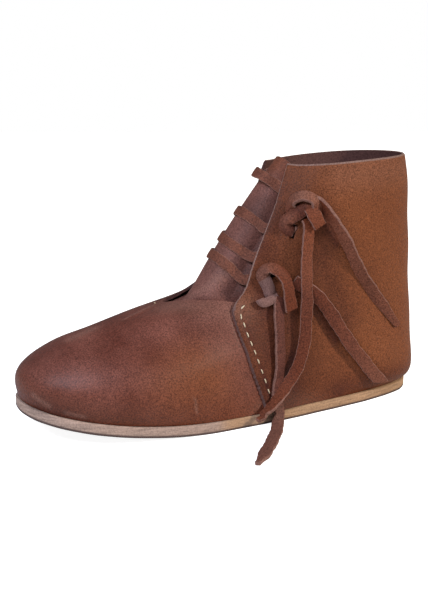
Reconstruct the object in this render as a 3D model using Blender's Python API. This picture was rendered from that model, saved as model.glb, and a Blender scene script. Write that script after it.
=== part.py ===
"""A medieval ankle shoe for the left foot, sewn from leather and tied with two thongs.

Sizes are in millimetres, and each mesh is scaled to metres as it is made. +X points to the toe, +Y to the
outer side of the foot and +Z up. Upper, tongue and thongs are all laid on one last, a stack of rings from
the sole's edge (row 0) up to the collar (row 8). A place on the last is a ring row, an angle round the ring
in degrees (0 at the heel, 90 on the outer side, 180 in front, 270 on the inner side) and a lift off it.
"""

import bmesh
import bpy
import numpy as np

MM = 0.001
GAP = 0.3

# Driving sizes of the last and the sole
SOLE_LENGTH = 270.0
BALL_WIDTH = 90.0
COLLAR_HEIGHT = 160.0
SOLE_THICK = 6.5
SOLE_GROW = 1.5
SOLE_CHAMFER = 0.6
TOE_SPRING = 16.0
SPRING_START = 160.0

# Leather thicknesses, and how the outer quarter laps over the vamp
WALL = 1.8
LAP_STEP = 1.2
LAP_EDGE = 0.4
LAP_FADE = 12.0
INSOLE_THICK = 2.5
INSOLE_INSET = 3.3
TONGUE_THICK = 1.6
THONG_WIDTH = 6.5
THONG_THICK = 1.8
SLIT_LENGTH = 9.4
SLIT_WIDTH = 3.6

# Rings of the last. Lengths are in hundredths of SOLE_LENGTH, heights of COLLAR_HEIGHT and half-widths, at
# 30, 60, 90, 120 and 150 degrees from the heel, of BALL_WIDTH.
RINGS = (
    # back_x, front_x, back_z, front_z, outer 30, 60, 90, 120, 150, inner 30, 60, 90, 120, 150
    (0.5, 99.3, 4.25, 4.25, 26.0, 39.0, 47.5, 47.0, 33.0, 28.0, 33.5, 33.5, 44.5, 36.5),
    (-0.7, 99.1, 10.5, 14.5, 35.0, 40.0, 43.5, 52.5, 35.0, 31.0, 36.5, 35.5, 46.5, 39.0),
    (-0.7, 92.2, 22.5, 25.5, 31.0, 40.0, 42.0, 48.0, 31.0, 31.0, 37.5, 36.5, 44.5, 34.5),
    (-0.3, 85.0, 35.5, 32.0, 28.0, 38.0, 40.0, 39.5, 23.5, 28.0, 36.5, 38.0, 38.0, 26.5),
    (0.6, 72.6, 49.5, 40.5, 25.5, 36.5, 39.0, 34.5, 21.0, 25.5, 36.5, 38.0, 34.5, 22.0),
    (1.1, 60.2, 62.5, 47.0, 24.5, 36.5, 39.5, 34.0, 20.0, 24.5, 36.5, 39.5, 34.0, 20.0),
    (2.3, 51.8, 75.5, 62.5, 24.5, 37.0, 40.0, 34.5, 20.0, 24.5, 37.0, 40.0, 34.5, 20.0),
    (3.2, 43.5, 88.0, 80.0, 24.5, 38.0, 40.5, 35.5, 20.5, 24.5, 38.0, 41.0, 35.5, 20.5),
    (5.2, 38.3, 100.0, 95.5, 24.5, 38.5, 40.5, 36.5, 21.0, 24.5, 38.5, 42.0, 36.5, 21.0),
)
RING_UNITS = np.array([SOLE_LENGTH] * 2 + [COLLAR_HEIGHT] * 2 + [BALL_WIDTH] * 10) / 100
RING_SIZES = np.array(RINGS) * RING_UNITS
COLLAR_ROW = len(RINGS) - 1
SKIRT_DROP = 20.0

# Front edge of the outer quarter, which runs on as the lap over the vamp, and the inner front edge
OUTER_EDGE = (
    # row, degrees
    (0.0, 87.8), (0.65, 88.7), (1.14, 90.9), (1.55, 94.1), (2.01, 97.9), (2.56, 101.7), (3.08, 106.4),
    (3.54, 112.5), (4.1, 121.6), (4.94, 133.8), (5.43, 138.5), (5.86, 141.8), (6.26, 145.2), (6.61, 148.8),
    (6.99, 152.8), (7.39, 156.7), (8.0, 160.5),
)
INNER_EDGE = (
    # row, degrees
    (0.0, 196.0), (2.0, 196.0), (3.5, 194.0), (4.5, 193.5), (5.0, 201.0), (5.6, 213.0),
    (6.3, 220.0), (7.0, 218.0), (7.5, 212.0), (8.0, 204.5),
)
# Throat edge of the vamp, from the lap to the point of the throat
THROAT_ROW = 4.5
THROAT_FADE = 1.3
THROAT_EDGE = (
    # degrees, row
    (110.0, 4.5), (127.5, 4.5), (137.0, 4.67), (147.0, 4.78), (160.0, 4.82), (172.0, 4.78),
    (183.0, 4.62), (193.0, 4.33), (215.0, 4.5), (235.0, 4.5),
)
LOW_ROWS = (0.0, 0.3, 0.65, 1.0, 1.5, 2.0, 2.5, 3.0, 3.5, 4.0)
HIGH_ROW_COUNT = 9
BACK_COLUMNS = 45
FRONT_COLUMNS = 20

# Tongue: how far it runs under the upper, and its lift off the last along its middle
TONGUE_FOOT = 4.2
TONGUE_TOP = 8.1
TONGUE_LAP = 14.0
TONGUE_TUCK = -(WALL + THONG_THICK + 6 * GAP)
TONGUE_EDGE = 0.09
TONGUE_MIDDLE = (
    # row, lift
    (4.2, -2.4), (4.8, -2.3), (5.3, 0.2), (6.0, 0.9), (7.0, 2.6), (8.1, 2.4),
)
TONGUE_ROWS = 16
TONGUE_COLUMNS = 14

# Bars of the thongs over the tongue, from a slit in the outer quarter to one on the inner side
BARS = (
    # thong, outer slit row, degrees, outer edge row, inner edge row, inner slit row, degrees, slack
    ("thong_upper", 6.80, 136.0, 7.42, 7.76, 7.5, 229.0, 5.8),
    ("thong_upper", 6.36, 126.5, 6.52, 6.82, 6.7, 236.0, 1.0),
    ("thong_lower", 5.36, 126.5, 5.90, 6.36, 6.26, 236.0, 0.3),
    ("thong_lower", 4.54, 112.5, 5.38, 6.08, 5.72, 232.0, 1.0),
)
BAR_SHARES = (0.15, 0.25, 0.37, 0.5, 0.63, 0.75, 0.85)
EDGE_SHARE = 0.05
UNDER_LIFT = -(WALL + 2 * GAP + THONG_THICK / 2)
SLIT_END_LIFT = 0.5

# Knots, cut stubs and tails, each a strip through these places. Tilt turns its face from the last, at 0, to
# the sky, at 1.
CORD_STEPS = 4
KNOT_WIDTH = 5.5
CORDS = {
    "knot_upper": (
        # row, degrees, lift, tilt
        (6.9, 138.5, 1.8, 0.0), (7.08, 138.0, 2.6, 0.0), (7.15, 133.0, 3.0, 0.0), (7.1, 127.0, 3.0, 0.0),
        (6.93, 121.5, 3.0, 0.0),
    ),
    "stub_upper": (
        (6.42, 125.5, 2.0, 0.0), (6.5, 132.5, 2.6, 0.0), (6.64, 136.5, 3.4, 0.0), (6.74, 134.0, 4.8, 0.0),
        (6.81, 129.5, 5.8, 0.0), (6.65, 121.5, 6.2, 0.0), (6.42, 112.0, 5.4, 0.0),
    ),
    "tail_upper_back": (
        (6.92, 117.0, 1.6, 0.0), (6.69, 110.5, 4.0, 0.3), (6.34, 101.0, 5.0, 0.5), (5.88, 90.5, 4.8, 0.4),
        (5.19, 79.5, 3.4, 0.2), (4.22, 64.5, 2.0, 0.0), (3.4, 51.0, 1.6, 0.0), (2.62, 40.0, 1.6, 0.0),
    ),
    "tail_upper_front": (
        (6.2, 115.5, 2.0, 0.0), (5.55, 109.5, 4.6, 0.0), (4.9, 102.5, 5.0, 0.0), (3.85, 90.0, 5.0, 0.0),
        (3.04, 83.5, 4.8, 0.0), (1.87, 82.0, 5.0, 0.0), (1.28, 83.0, 5.4, 0.0), (0.57, 86.0, 6.0, 0.0),
        (0.1, 89.0, 6.6, 0.0), (-0.06, 92.5, 7.0, 0.0),
    ),
    "knot_lower": (
        (5.39, 130.5, 1.8, 0.0), (5.57, 131.5, 2.6, 0.0), (5.58, 128.0, 3.0, 0.0), (5.45, 122.0, 3.2, 0.0),
        (5.14, 114.0, 3.2, 0.0), (4.45, 104.0, 3.2, 0.0), (3.78, 94.5, 2.8, 0.0),
    ),
    "stub_lower": (
        (4.38, 110.0, 1.8, 0.0), (4.22, 112.0, 2.2, 0.0), (4.47, 117.5, 2.6, 0.0), (4.85, 121.5, 2.6, 0.0),
    ),
    "tail_lower_front": (
        (4.1, 103.5, 1.5, 0.0), (3.4, 95.5, 2.4, 0.0), (2.28, 89.5, 2.4, 0.0), (1.49, 86.5, 2.4, 0.0),
        (0.73, 85.0, 2.8, 0.0), (0.1, 85.0, 3.8, 0.0), (-0.16, 85.7, 5.6, 0.3), (-0.275, 88.0, 12.0, 1.0),
        (-0.28, 92.6, 25.0, 1.0), (-0.28, 98.3, 40.0, 1.0), (-0.28, 104.0, 55.5, 1.0),
    ),
    "tail_lower_back": (
        (4.9, 106.0, 1.5, 0.0), (4.52, 96.5, 1.5, 0.0), (3.94, 85.0, 1.8, 0.0), (2.8, 70.0, 2.4, 0.0),
        (2.23, 64.5, 2.4, 0.0), (1.58, 57.0, 2.0, 0.0), (1.03, 51.0, 1.8, 0.0), (0.59, 44.5, 1.7, 0.0),
    ),
}

# Leather colours, as linear red, green and blue
QUARTER_BROWN = (0.19, 0.075, 0.033)
TONGUE_BROWN = (0.14, 0.06, 0.035)
THONG_BROWN = (0.16, 0.06, 0.035)
INSOLE_BROWN = (0.10, 0.05, 0.03)
SOLE_TAN = (0.42, 0.28, 0.19)


def clear_scene():
    """Removes the objects that the scene starts with."""
    for obj in list(bpy.data.objects):
        bpy.data.objects.remove(obj, do_unlink=True)


def natural_spline(rows, at):
    """Values of a natural cubic spline through rows kept at 0, 1, 2 and so on."""
    count = len(rows)
    system = np.eye(count)
    right = np.zeros_like(rows)
    for i in range(1, count - 1):
        system[i, i - 1:i + 2] = 1, 4, 1
        right[i] = 6 * (rows[i - 1] - 2 * rows[i] + rows[i + 1])
    bend = np.linalg.solve(system, right) / 6
    i = np.clip(at.astype(int), 0, count - 2)
    t = (at - i)[:, None]
    start = bend[i] * (1 - t) ** 3 + (rows[i] - bend[i]) * (1 - t)
    end = bend[i + 1] * t ** 3 + (rows[i + 1] - bend[i + 1]) * t
    return start + end


def smooth_curve(table, at):
    """Values of a smooth curve through rows of key and value, read at these keys."""
    keys, values = np.array(table).T
    slopes = np.gradient(values, keys)
    at = np.clip(at, keys[0], keys[-1])
    i = np.clip(np.searchsorted(keys, at) - 1, 0, len(keys) - 2)
    span = keys[i + 1] - keys[i]
    t = (at - keys[i]) / span
    start = values[i] * (1 + 2 * t) * (1 - t) ** 2 + slopes[i] * span * t * (1 - t) ** 2
    end = values[i + 1] * t ** 2 * (3 - 2 * t) - slopes[i + 1] * span * t ** 2 * (1 - t)
    return start + end


def toe_rise(x):
    """How far the toe spring lifts the shoe at this length."""
    return TOE_SPRING * (np.clip(x - SPRING_START, 0, None) / (SOLE_LENGTH - SPRING_START)) ** 2


def ring_widths(half_widths, angle):
    """Sideways place on rings whose ten half-widths are given, as a smooth wave round each ring."""
    outer, inner = half_widths[:, :5], half_widths[:, 5:]
    ends = np.zeros((len(angle), 1))
    around = np.hstack([ends, outer, ends, -inner[:, ::-1]])
    waves = np.fft.rfft(around, axis=1) / around.shape[1]
    order = np.arange(waves.shape[1])
    weight = np.where((order == 0) | (order == order[-1]), 1, 2)
    return (weight * (waves * np.exp(1j * angle[:, None] * order)).real).sum(axis=1)


def last_points(rows, degrees):
    """Points on the last at these ring rows and angles."""
    rows, degrees = np.broadcast_arrays(rows, degrees)
    ring = natural_spline(RING_SIZES, rows.ravel())
    angle = np.radians(degrees.ravel())
    back_x, front_x, back_z, front_z = ring[:, :4].T
    along = (1 - np.cos(angle)) / 2
    x = back_x + along * (front_x - back_x)
    y = ring_widths(ring[:, 4:], angle)
    z = back_z + along * (front_z - back_z) + toe_rise(x)
    return np.stack([x, y, z], axis=-1).reshape(rows.shape + (3,))


def unit(vectors):
    """The same vectors at length 1."""
    return vectors / np.linalg.norm(vectors, axis=-1, keepdims=True)


def skin(rows, degrees, lift):
    """Points lifted off the last, and its outward normals. Below row 0 it drops straight past the sole."""
    rows, degrees, lift = np.broadcast_arrays(np.asarray(rows, float), degrees, lift)
    on_last = np.maximum(rows, 0)
    points = last_points(on_last, degrees)
    points[..., 2] += SKIRT_DROP * np.minimum(rows, 0)
    upward = last_points(on_last + 0.02, degrees) - last_points(on_last - 0.02, degrees)
    around = last_points(on_last, degrees + 0.5) - last_points(on_last, degrees - 0.5)
    normals = np.cross(upward, around)
    normals[..., 2] *= rows > 0
    normals = unit(normals)
    return points + lift[..., None] * normals, normals


def leather(name, colour, roughness):
    """A plain leather material."""
    material = bpy.data.materials.new(name)
    material.use_nodes = True
    shader = material.node_tree.nodes["Principled BSDF"]
    shader.inputs["Base Color"].default_value = (*colour, 1)
    shader.inputs["Roughness"].default_value = roughness
    shader.inputs["Metallic"].default_value = 0
    return material


def add_piece(name, points, faces, material):
    """A named object from points in millimetres, with its faces turned outward."""
    mesh = bpy.data.meshes.new(name)
    mesh.from_pydata((np.asarray(points) * MM).tolist(), [], faces)
    shell = bmesh.new()
    shell.from_mesh(mesh)
    bmesh.ops.recalc_face_normals(shell, faces=shell.faces)
    shell.to_mesh(mesh)
    shell.free()
    mesh.materials.append(material)
    mesh.shade_smooth()
    mesh.set_sharp_from_angle(angle=np.radians(40))
    piece = bpy.data.objects.new(name, mesh)
    bpy.context.scene.collection.objects.link(piece)
    return piece


def use_boolean(piece, helper, operation):
    """Cuts the helper from the piece, or joins it on, and keeps the helper out of sight."""
    helper.hide_render = True
    helper.display_type = "WIRE"
    modifier = piece.modifiers.new(helper.name, "BOOLEAN")
    modifier.operation = operation
    modifier.object = helper


def quads(first, second, closed):
    """Faces between two rows of point numbers."""
    pairs = list(zip(first, second))
    following = pairs[1:] + pairs[:1] if closed else pairs[1:]
    return [(a, c, d, b) for (a, b), (c, d) in zip(pairs, following)]


def plate(name, grow, bottom, top, material, stations=36):
    """A plate with the outline of the feather edge grown by this much, bent up along the toe spring."""
    outline = RING_SIZES[:1] + np.array([-grow, grow, 0, 0] + [grow] * 10)
    angle = np.linspace(0, 2 * np.pi, 2 * stations, endpoint=False)
    back_x, front_x = outline[0, :2]
    middle_x = (back_x + front_x) / 2
    x = middle_x - np.cos(angle) * (front_x - back_x) / 2
    y = ring_widths(np.repeat(outline[:, 4:], len(angle), axis=0), angle)
    normals = unit(np.stack([-np.gradient(y), np.gradient(x)], axis=1))
    levels = (
        # inset, height
        (SOLE_CHAMFER, bottom), (0.0, bottom + SOLE_CHAMFER), (0.0, top - SOLE_CHAMFER), (SOLE_CHAMFER, top),
    )
    points = []
    for inset, height in levels:
        ring_x = x - inset * normals[:, 0]
        ring_y = y - inset * normals[:, 1]
        points.append(np.stack([ring_x, ring_y, height + toe_rise(ring_x)], axis=1))
    count = len(angle)
    rings = [[level * count + i for i in range(count)] for level in range(len(levels))]
    faces = []
    for lower, upper in zip(rings, rings[1:]):
        faces += quads(lower, upper, closed=True)
    for ring in (rings[0], rings[-1]):
        outer_side = ring[1:stations]
        inner_side = ring[:stations:-1]
        faces += quads(outer_side, inner_side, closed=False)
        faces.append((ring[0], outer_side[0], inner_side[0]))
        faces.append((ring[stations], inner_side[-1], outer_side[-1]))
    return add_piece(name, np.concatenate(points), faces, material)


def upper_places():
    """Row, angle and outer lift of every grid point of the upper, and the number of rows up to the throat."""
    high_rows = np.linspace(THROAT_ROW, COLLAR_ROW, HIGH_ROW_COUNT)
    level_rows = np.concatenate([LOW_ROWS, high_rows])
    rows, degrees, lifts = [], [], []
    for level in level_rows:
        outer = smooth_curve(OUTER_EDGE, level)
        inner = smooth_curve(INNER_EDGE, level)
        back = np.linspace(inner - 360, outer, BACK_COLUMNS)
        front = np.linspace(outer + LAP_EDGE, inner, FRONT_COLUMNS + 1)[:-1]
        around = np.concatenate([back, front])
        behind = np.clip(1 - (outer - around) / LAP_FADE, 0, 1)
        lap = LAP_STEP * behind ** 2 * (3 - 2 * behind) * (around <= outer)
        fade = np.clip(1 - ((level - THROAT_ROW) / THROAT_FADE) ** 2, 0, 1) ** 2
        shift = smooth_curve(THROAT_EDGE, np.mod(around, 360)) - THROAT_ROW
        rows.append(level + fade * shift)
        degrees.append(around)
        lifts.append(lap)
    return np.array(rows), np.array(degrees), np.array(lifts), len(LOW_ROWS)


def make_upper(material):
    """The hollow upper: a wall open at the collar, at the throat and underneath."""
    rows, degrees, lifts, throat = upper_places()
    outside, _ = skin(rows, degrees, lifts)
    inside, _ = skin(rows, degrees, -WALL)
    row_count, column_count = rows.shape
    number = np.arange(row_count * column_count).reshape(row_count, column_count)
    outer, inner = number, number + number.size
    faces = []
    for i in range(row_count - 1):
        whole = i < throat
        columns = slice(None) if whole else slice(0, BACK_COLUMNS)
        faces += quads(outer[i, columns], outer[i + 1, columns], closed=whole)
        faces += quads(inner[i, columns], inner[i + 1, columns], closed=whole)
    back = slice(0, BACK_COLUMNS)
    lap = BACK_COLUMNS - 1
    throat_columns = list(range(lap, column_count)) + [0]
    faces += quads(outer[0], inner[0], closed=True)
    faces += quads(outer[-1, back], inner[-1, back], closed=False)
    faces += quads(outer[throat, throat_columns], inner[throat, throat_columns], closed=False)
    for edge in (0, lap):
        faces += quads(outer[throat:, edge], inner[throat:, edge], closed=False)
    points = np.concatenate([outside.reshape(-1, 3), inside.reshape(-1, 3)])
    used = sorted({int(index) for face in faces for index in face})
    place = {index: k for k, index in enumerate(used)}
    faces = [tuple(place[int(index)] for index in face) for face in faces]
    return add_piece("upper", points[used], faces, material)


def throat_degrees(row, share):
    """Angle this share of the way from the outer front edge to the inner one."""
    outer = smooth_curve(OUTER_EDGE, row)
    inner = smooth_curve(INNER_EDGE, row)
    return outer + share * (inner - outer)


def tongue_lift(row, share):
    """Lift of the tongue's outer face: tucked under both front edges and bulging between them."""
    from_middle = np.abs(2 * share - 1) / (1 - 2 * TONGUE_EDGE)
    bulge = np.clip(1 - from_middle ** 2, 0, None)
    return TONGUE_TUCK + bulge * (smooth_curve(TONGUE_MIDDLE, row) - TONGUE_TUCK)


def make_tongue(material):
    """The tongue: a leather sheet from under the vamp to just above the collar."""
    rows = np.repeat(np.linspace(TONGUE_FOOT, TONGUE_TOP, TONGUE_ROWS)[:, None], TONGUE_COLUMNS, axis=1)
    outer = smooth_curve(OUTER_EDGE, rows)
    inner = smooth_curve(INNER_EDGE, rows)
    across = np.linspace(0, 1, TONGUE_COLUMNS)
    degrees = outer - TONGUE_LAP + across * (inner - outer + 2 * TONGUE_LAP)
    lift = tongue_lift(rows, (degrees - outer) / (inner - outer))
    outside, _ = skin(rows, degrees, lift)
    inside, _ = skin(rows, degrees, lift - TONGUE_THICK)
    number = np.arange(rows.size).reshape(rows.shape)
    top, under = number.tolist(), (number + rows.size).tolist()
    faces = []
    for i in range(TONGUE_ROWS - 1):
        faces += quads(top[i], top[i + 1], closed=False)
        faces += quads(under[i], under[i + 1], closed=False)
    for row in (0, -1):
        faces += quads(top[row], under[row], closed=False)
    for column in (0, -1):
        faces += quads([row[column] for row in top], [row[column] for row in under], closed=False)
    points = np.concatenate([outside.reshape(-1, 3), inside.reshape(-1, 3)])
    return add_piece("tongue", points, faces, material)


def strip(name, points, sides, material, width=THONG_WIDTH, thick=THONG_THICK):
    """A flat strip along these points. Sides are unit vectors across it, and its bends are mitred."""
    runs = np.diff(points, axis=0)
    faces_out = unit(np.cross(runs, (sides[:-1] + sides[1:]) / 2))
    before = np.concatenate([faces_out[:1], faces_out])
    after = np.concatenate([faces_out, faces_out[-1:]])
    mitre = (before + after) / (1 + (before * after).sum(axis=1, keepdims=True))
    corners = []
    for across, through in ((1, 1), (-1, 1), (-1, -1), (1, -1)):
        corners.append(points + across * width / 2 * sides + through * thick / 2 * mitre)
    count = len(points)
    lines = [[corner * count + i for i in range(count)] for corner in range(4)]
    faces = []
    for corner in range(4):
        faces += quads(lines[corner], lines[(corner + 1) % 4], closed=False)
    for end in (0, -1):
        faces.append(tuple(line[end] for line in lines))
    return add_piece(name, np.concatenate(corners), faces, material)


def across_route(points, normals):
    """Unit vectors across a route that lies flat under these normals."""
    return unit(np.cross(normals, np.gradient(points, axis=0)))


def block(name, centre, axes, sizes, material):
    """A box round a centre, with its three sizes along three unit axes."""
    corners = np.array([(a, b, c) for a in (-0.5, 0.5) for b in (-0.5, 0.5) for c in (-0.5, 0.5)])
    faces = [(0, 1, 3, 2), (4, 6, 7, 5), (0, 4, 5, 1), (2, 3, 7, 6), (0, 2, 6, 4), (1, 5, 7, 3)]
    return add_piece(name, centre + (corners * sizes) @ np.array(axes), faces, material)


def bar_places(bar):
    """Row, angle and lift of each place on a bar, between its two slits and under both front edges."""
    _, outer_row, outer_degrees, outer_edge, inner_edge, inner_row, inner_degrees, slack = bar
    places = [(outer_row, outer_degrees, UNDER_LIFT)]
    places.append((outer_edge, throat_degrees(outer_edge, -EDGE_SHARE), UNDER_LIFT))
    places.append((outer_edge, throat_degrees(outer_edge, EDGE_SHARE), UNDER_LIFT))
    for share in BAR_SHARES:
        row = outer_edge + share * (inner_edge - outer_edge)
        rest = tongue_lift(row, share) + 5 * GAP + THONG_THICK / 2
        places.append((row, throat_degrees(row, share), rest + slack * np.sin(np.pi * share) ** 2))
    places.append((inner_edge, throat_degrees(inner_edge, 1 - EDGE_SHARE), UNDER_LIFT))
    places.append((inner_edge, throat_degrees(inner_edge, 1 + EDGE_SHARE), UNDER_LIFT))
    places.append((inner_row, inner_degrees, UNDER_LIFT))
    return np.array(places)


def make_bar(name, bar, end_lifts, material):
    """A bar whose two ends turn out through the slits, and the frame of each slit."""
    rows, degrees, lifts = bar_places(bar).T
    bare, normals = skin(rows, degrees, 0.0)
    sides = across_route(bare, normals)
    points, _ = skin(rows, degrees, lifts)
    slits, ends = [], []
    for end, lift in zip((0, -1), end_lifts):
        slits.append((bare[end], (sides[end], np.cross(normals[end], sides[end]), normals[end])))
        ends.append(bare[end] + lift * normals[end])
    points = np.concatenate([ends[:1], points, ends[1:]])
    sides = np.concatenate([sides[:1], sides, sides[-1:]])
    return strip(name, points, sides, material), slits


def make_link(name, bars, lift, material):
    """The stretch of a thong that lies on the inner side between two slits."""
    rows = np.array([bar[5] for bar in bars])
    degrees = np.array([bar[6] for bar in bars])
    overrun = THONG_WIDTH / 2 / (SKIRT_DROP * (rows[0] - rows[1]))
    steps = np.linspace(-overrun, 1 + overrun, 5)
    along_rows = rows[0] + steps * (rows[1] - rows[0])
    along_degrees = degrees[0] + steps * (degrees[1] - degrees[0])
    points, normals = skin(along_rows, along_degrees, lift)
    return strip(name, points, across_route(points, normals), material)


def make_thongs(upper, material):
    """Both thongs, each two bars joined by their link, and the eight slits that they pass through."""
    link_lift = 2 * GAP + THONG_THICK / 2
    for name in ("thong_upper", "thong_lower"):
        bars = [bar for bar in BARS if bar[0] == name]
        thong = make_link(name, bars, link_lift, material)
        for number, bar in enumerate(bars, start=1):
            bar_name = f"{name}_bar_{number}"
            piece, slits = make_bar(bar_name, bar, (SLIT_END_LIFT, link_lift), material)
            use_boolean(thong, piece, "UNION")
            for side, (centre, axes) in zip(("outer", "inner"), slits):
                sizes = (SLIT_LENGTH, SLIT_WIDTH, 4 * WALL)
                cutter = block(f"{bar_name}_{side}_slit", centre, axes, sizes, material)
                use_boolean(upper, cutter, "DIFFERENCE")


def make_cords(material):
    """Knots, stubs and tails, each a strip along a smooth curve through its places."""
    for name, places in CORDS.items():
        steps = np.linspace(0, len(places) - 1, CORD_STEPS * (len(places) - 1) + 1)
        rows, degrees, lifts, tilts = natural_spline(np.array(places), steps).T
        points, normals = skin(rows, degrees, lifts)
        tilts = np.clip(tilts, 0, 1)[:, None]
        normals = unit((1 - tilts) * normals + tilts * np.array([0, 0, 1]))
        width = THONG_WIDTH if name.startswith("tail") else KNOT_WIDTH
        strip(name, points, across_route(points, normals), material, width)


def centre_on_floor():
    """Moves the shoe so that the middle of its footprint, without the loose thong ends, is the origin."""
    solid = [obj for obj in bpy.context.scene.objects if not obj.hide_render and obj.name not in CORDS]
    corners = np.concatenate([np.array(obj.bound_box) for obj in solid])
    low, high = corners.min(axis=0), corners.max(axis=0)
    for obj in bpy.context.scene.objects:
        obj.location = (-(low[0] + high[0]) / 2, -(low[1] + high[1]) / 2, -low[2])


def main():
    """Builds the shoe."""
    clear_scene()
    upper_leather = leather("upper_leather", QUARTER_BROWN, 0.55)
    thong_leather = leather("thong_leather", THONG_BROWN, 0.65)
    plate("sole", SOLE_GROW, 0.0, SOLE_THICK, leather("sole_leather", SOLE_TAN, 0.75))
    insole_leather = leather("insole_leather", INSOLE_BROWN, 0.8)
    insole_bottom = SOLE_THICK + GAP
    plate("insole", -INSOLE_INSET, insole_bottom, insole_bottom + INSOLE_THICK, insole_leather)
    upper = make_upper(upper_leather)
    make_tongue(leather("tongue_leather", TONGUE_BROWN, 0.5))
    make_thongs(upper, thong_leather)
    make_cords(thong_leather)
    centre_on_floor()


if __name__ == "__main__":
    main()
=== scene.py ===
"""Dresses a medieval ankle shoe for the left foot as cut and sewn leather, and sets it up in a pale studio.

Every soft piece is laid on one last, a stack of rings from the sole's edge (row 0) up to the collar (row 8).
A place on the last is a ring row, an angle round the ring in degrees (0 at the heel, 90 on the outer side,
180 in front, 270 on the inner side) and a lift off it. Sizes are in millimetres from the heel end of the
sole, and Last.to_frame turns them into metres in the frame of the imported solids.
"""

import logging
import math
from collections.abc import Iterable, Mapping, Sequence
from dataclasses import dataclass, field
from enum import Enum, IntEnum
from functools import cached_property

import bmesh
import bpy
import numpy as np
from bpy.types import ID, Material, Node, NodeSocket, NodeTree, Object
from mathutils import Matrix, Vector


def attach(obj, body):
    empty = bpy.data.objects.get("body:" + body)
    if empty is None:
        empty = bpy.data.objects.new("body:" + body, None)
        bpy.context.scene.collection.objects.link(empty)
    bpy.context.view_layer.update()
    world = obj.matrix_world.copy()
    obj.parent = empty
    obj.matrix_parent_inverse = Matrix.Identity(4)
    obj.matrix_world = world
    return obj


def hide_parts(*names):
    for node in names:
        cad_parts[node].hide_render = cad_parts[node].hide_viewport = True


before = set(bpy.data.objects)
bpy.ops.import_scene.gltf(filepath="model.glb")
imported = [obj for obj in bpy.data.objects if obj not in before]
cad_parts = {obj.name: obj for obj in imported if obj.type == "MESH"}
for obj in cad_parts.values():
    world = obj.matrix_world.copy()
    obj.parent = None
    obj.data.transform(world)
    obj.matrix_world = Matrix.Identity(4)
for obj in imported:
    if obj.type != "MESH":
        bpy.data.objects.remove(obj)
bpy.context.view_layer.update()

MM = 0.001
BODY = "root"
IMAGE_SIZE = (428, 600)
LOG = logging.getLogger("medieval_shoe")

Array = np.ndarray
Place = tuple[float, float]
# Places of a soft streak, the distance at which it has faded to a third, and its share
Streak = tuple[tuple[Place, ...], float, float]
# Materials of a piece, by slot
Coats = Sequence[Material]


class Face(IntEnum):
    """Which surface of a leather sheet a mesh face belongs to, as its material slot."""

    GRAIN = 0
    FLESH = 1
    CUT = 2


class Slot(Enum):
    """Material slot names."""

    UPPER = "upper_leather"
    TONGUE = "tongue_leather"
    THONG = "thong_leather"
    SOLE = "sole_leather"
    INSOLE = "insole_leather"


def linear(hex_colour: str) -> tuple[float, float, float, float]:
    """Turns an sRGB colour into linear light.

    Args:
        hex_colour: Six hex digits after a hash sign.

    Returns:
        Linear red, green and blue, and an alpha of 1.
    """
    parts = [int(hex_colour[i:i + 2], 16) / 255 for i in (1, 3, 5)]
    light = [c / 12.92 if c <= 0.04045 else ((c + 0.055) / 1.055) ** 2.4 for c in parts]
    return (light[0], light[1], light[2], 1.0)


def fill(tree: NodeTree, socket: NodeSocket, value: object) -> None:
    """Links an input from an output socket, or sets its value.

    Args:
        tree: Node tree of the input.
        socket: The input.
        value: An output socket to link from, or a constant.
    """
    if isinstance(value, NodeSocket):
        tree.links.new(value, socket)
    else:
        socket.default_value = value


def add_node(
    tree: NodeTree, kind: str, sockets: Mapping[str | int, object] | None = None, **settings: object,
) -> Node:
    """Adds a shader node with its settings and links.

    Args:
        tree: Node tree that gets the node.
        kind: Node type, without its ShaderNode prefix.
        sockets: A value, or an output socket to link from, for each input by name or number.
        settings: Properties of the node itself.

    Returns:
        The new node.
    """
    node = tree.nodes.new("ShaderNode" + kind)
    for name, value in settings.items():
        setattr(node, name, value)
    for key, value in (sockets or {}).items():
        fill(tree, node.inputs[key], value)
    return node


def link_object(name: str, data: ID) -> Object:
    """Puts a new object in the scene.

    Args:
        name: Its name.
        data: Its mesh, light or camera.

    Returns:
        The object.
    """
    made = bpy.data.objects.new(name, data)
    bpy.context.scene.collection.objects.link(made)
    return made


def unit(vectors: Array) -> Array:
    """Gives the same vectors at length 1."""
    return vectors / np.linalg.norm(vectors, axis=-1, keepdims=True)


def soft_step(share: Array) -> Array:
    """Eases from 0 to 1, level at both ends."""
    share = np.clip(share, 0, 1)
    return share * share * (3 - 2 * share)


def natural_spline(rows: Array, at: Array) -> Array:
    """Reads a natural cubic spline.

    Args:
        rows: Values kept at 0, 1, 2 and so on.
        at: Where to read it.

    Returns:
        One row of values for each place.
    """
    count = len(rows)
    system = np.eye(count)
    right = np.zeros_like(rows)
    for i in range(1, count - 1):
        system[i, i - 1:i + 2] = 1, 4, 1
        right[i] = 6 * (rows[i - 1] - 2 * rows[i] + rows[i + 1])
    bend = np.linalg.solve(system, right) / 6
    i = np.clip(at.astype(int), 0, count - 2)
    t = (at - i)[:, None]
    start = bend[i] * (1 - t) ** 3 + (rows[i] - bend[i]) * (1 - t)
    end = bend[i + 1] * t ** 3 + (rows[i + 1] - bend[i + 1]) * t
    return start + end


def smooth_curve(table: Sequence[Place], at: Array | float) -> Array:
    """Reads a smooth curve through rows of key and value.

    Args:
        table: Rows of key and value, by rising key.
        at: Keys to read.

    Returns:
        The values there.
    """
    keys, values = np.array(table).T
    slopes = np.gradient(values, keys)
    at = np.clip(at, keys[0], keys[-1])
    i = np.clip(np.searchsorted(keys, at) - 1, 0, len(keys) - 2)
    span = keys[i + 1] - keys[i]
    t = (at - keys[i]) / span
    start = values[i] * (1 + 2 * t) * (1 - t) ** 2 + slopes[i] * span * t * (1 - t) ** 2
    end = values[i + 1] * t ** 2 * (3 - 2 * t) - slopes[i + 1] * span * t ** 2 * (1 - t)
    return start + end


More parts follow.
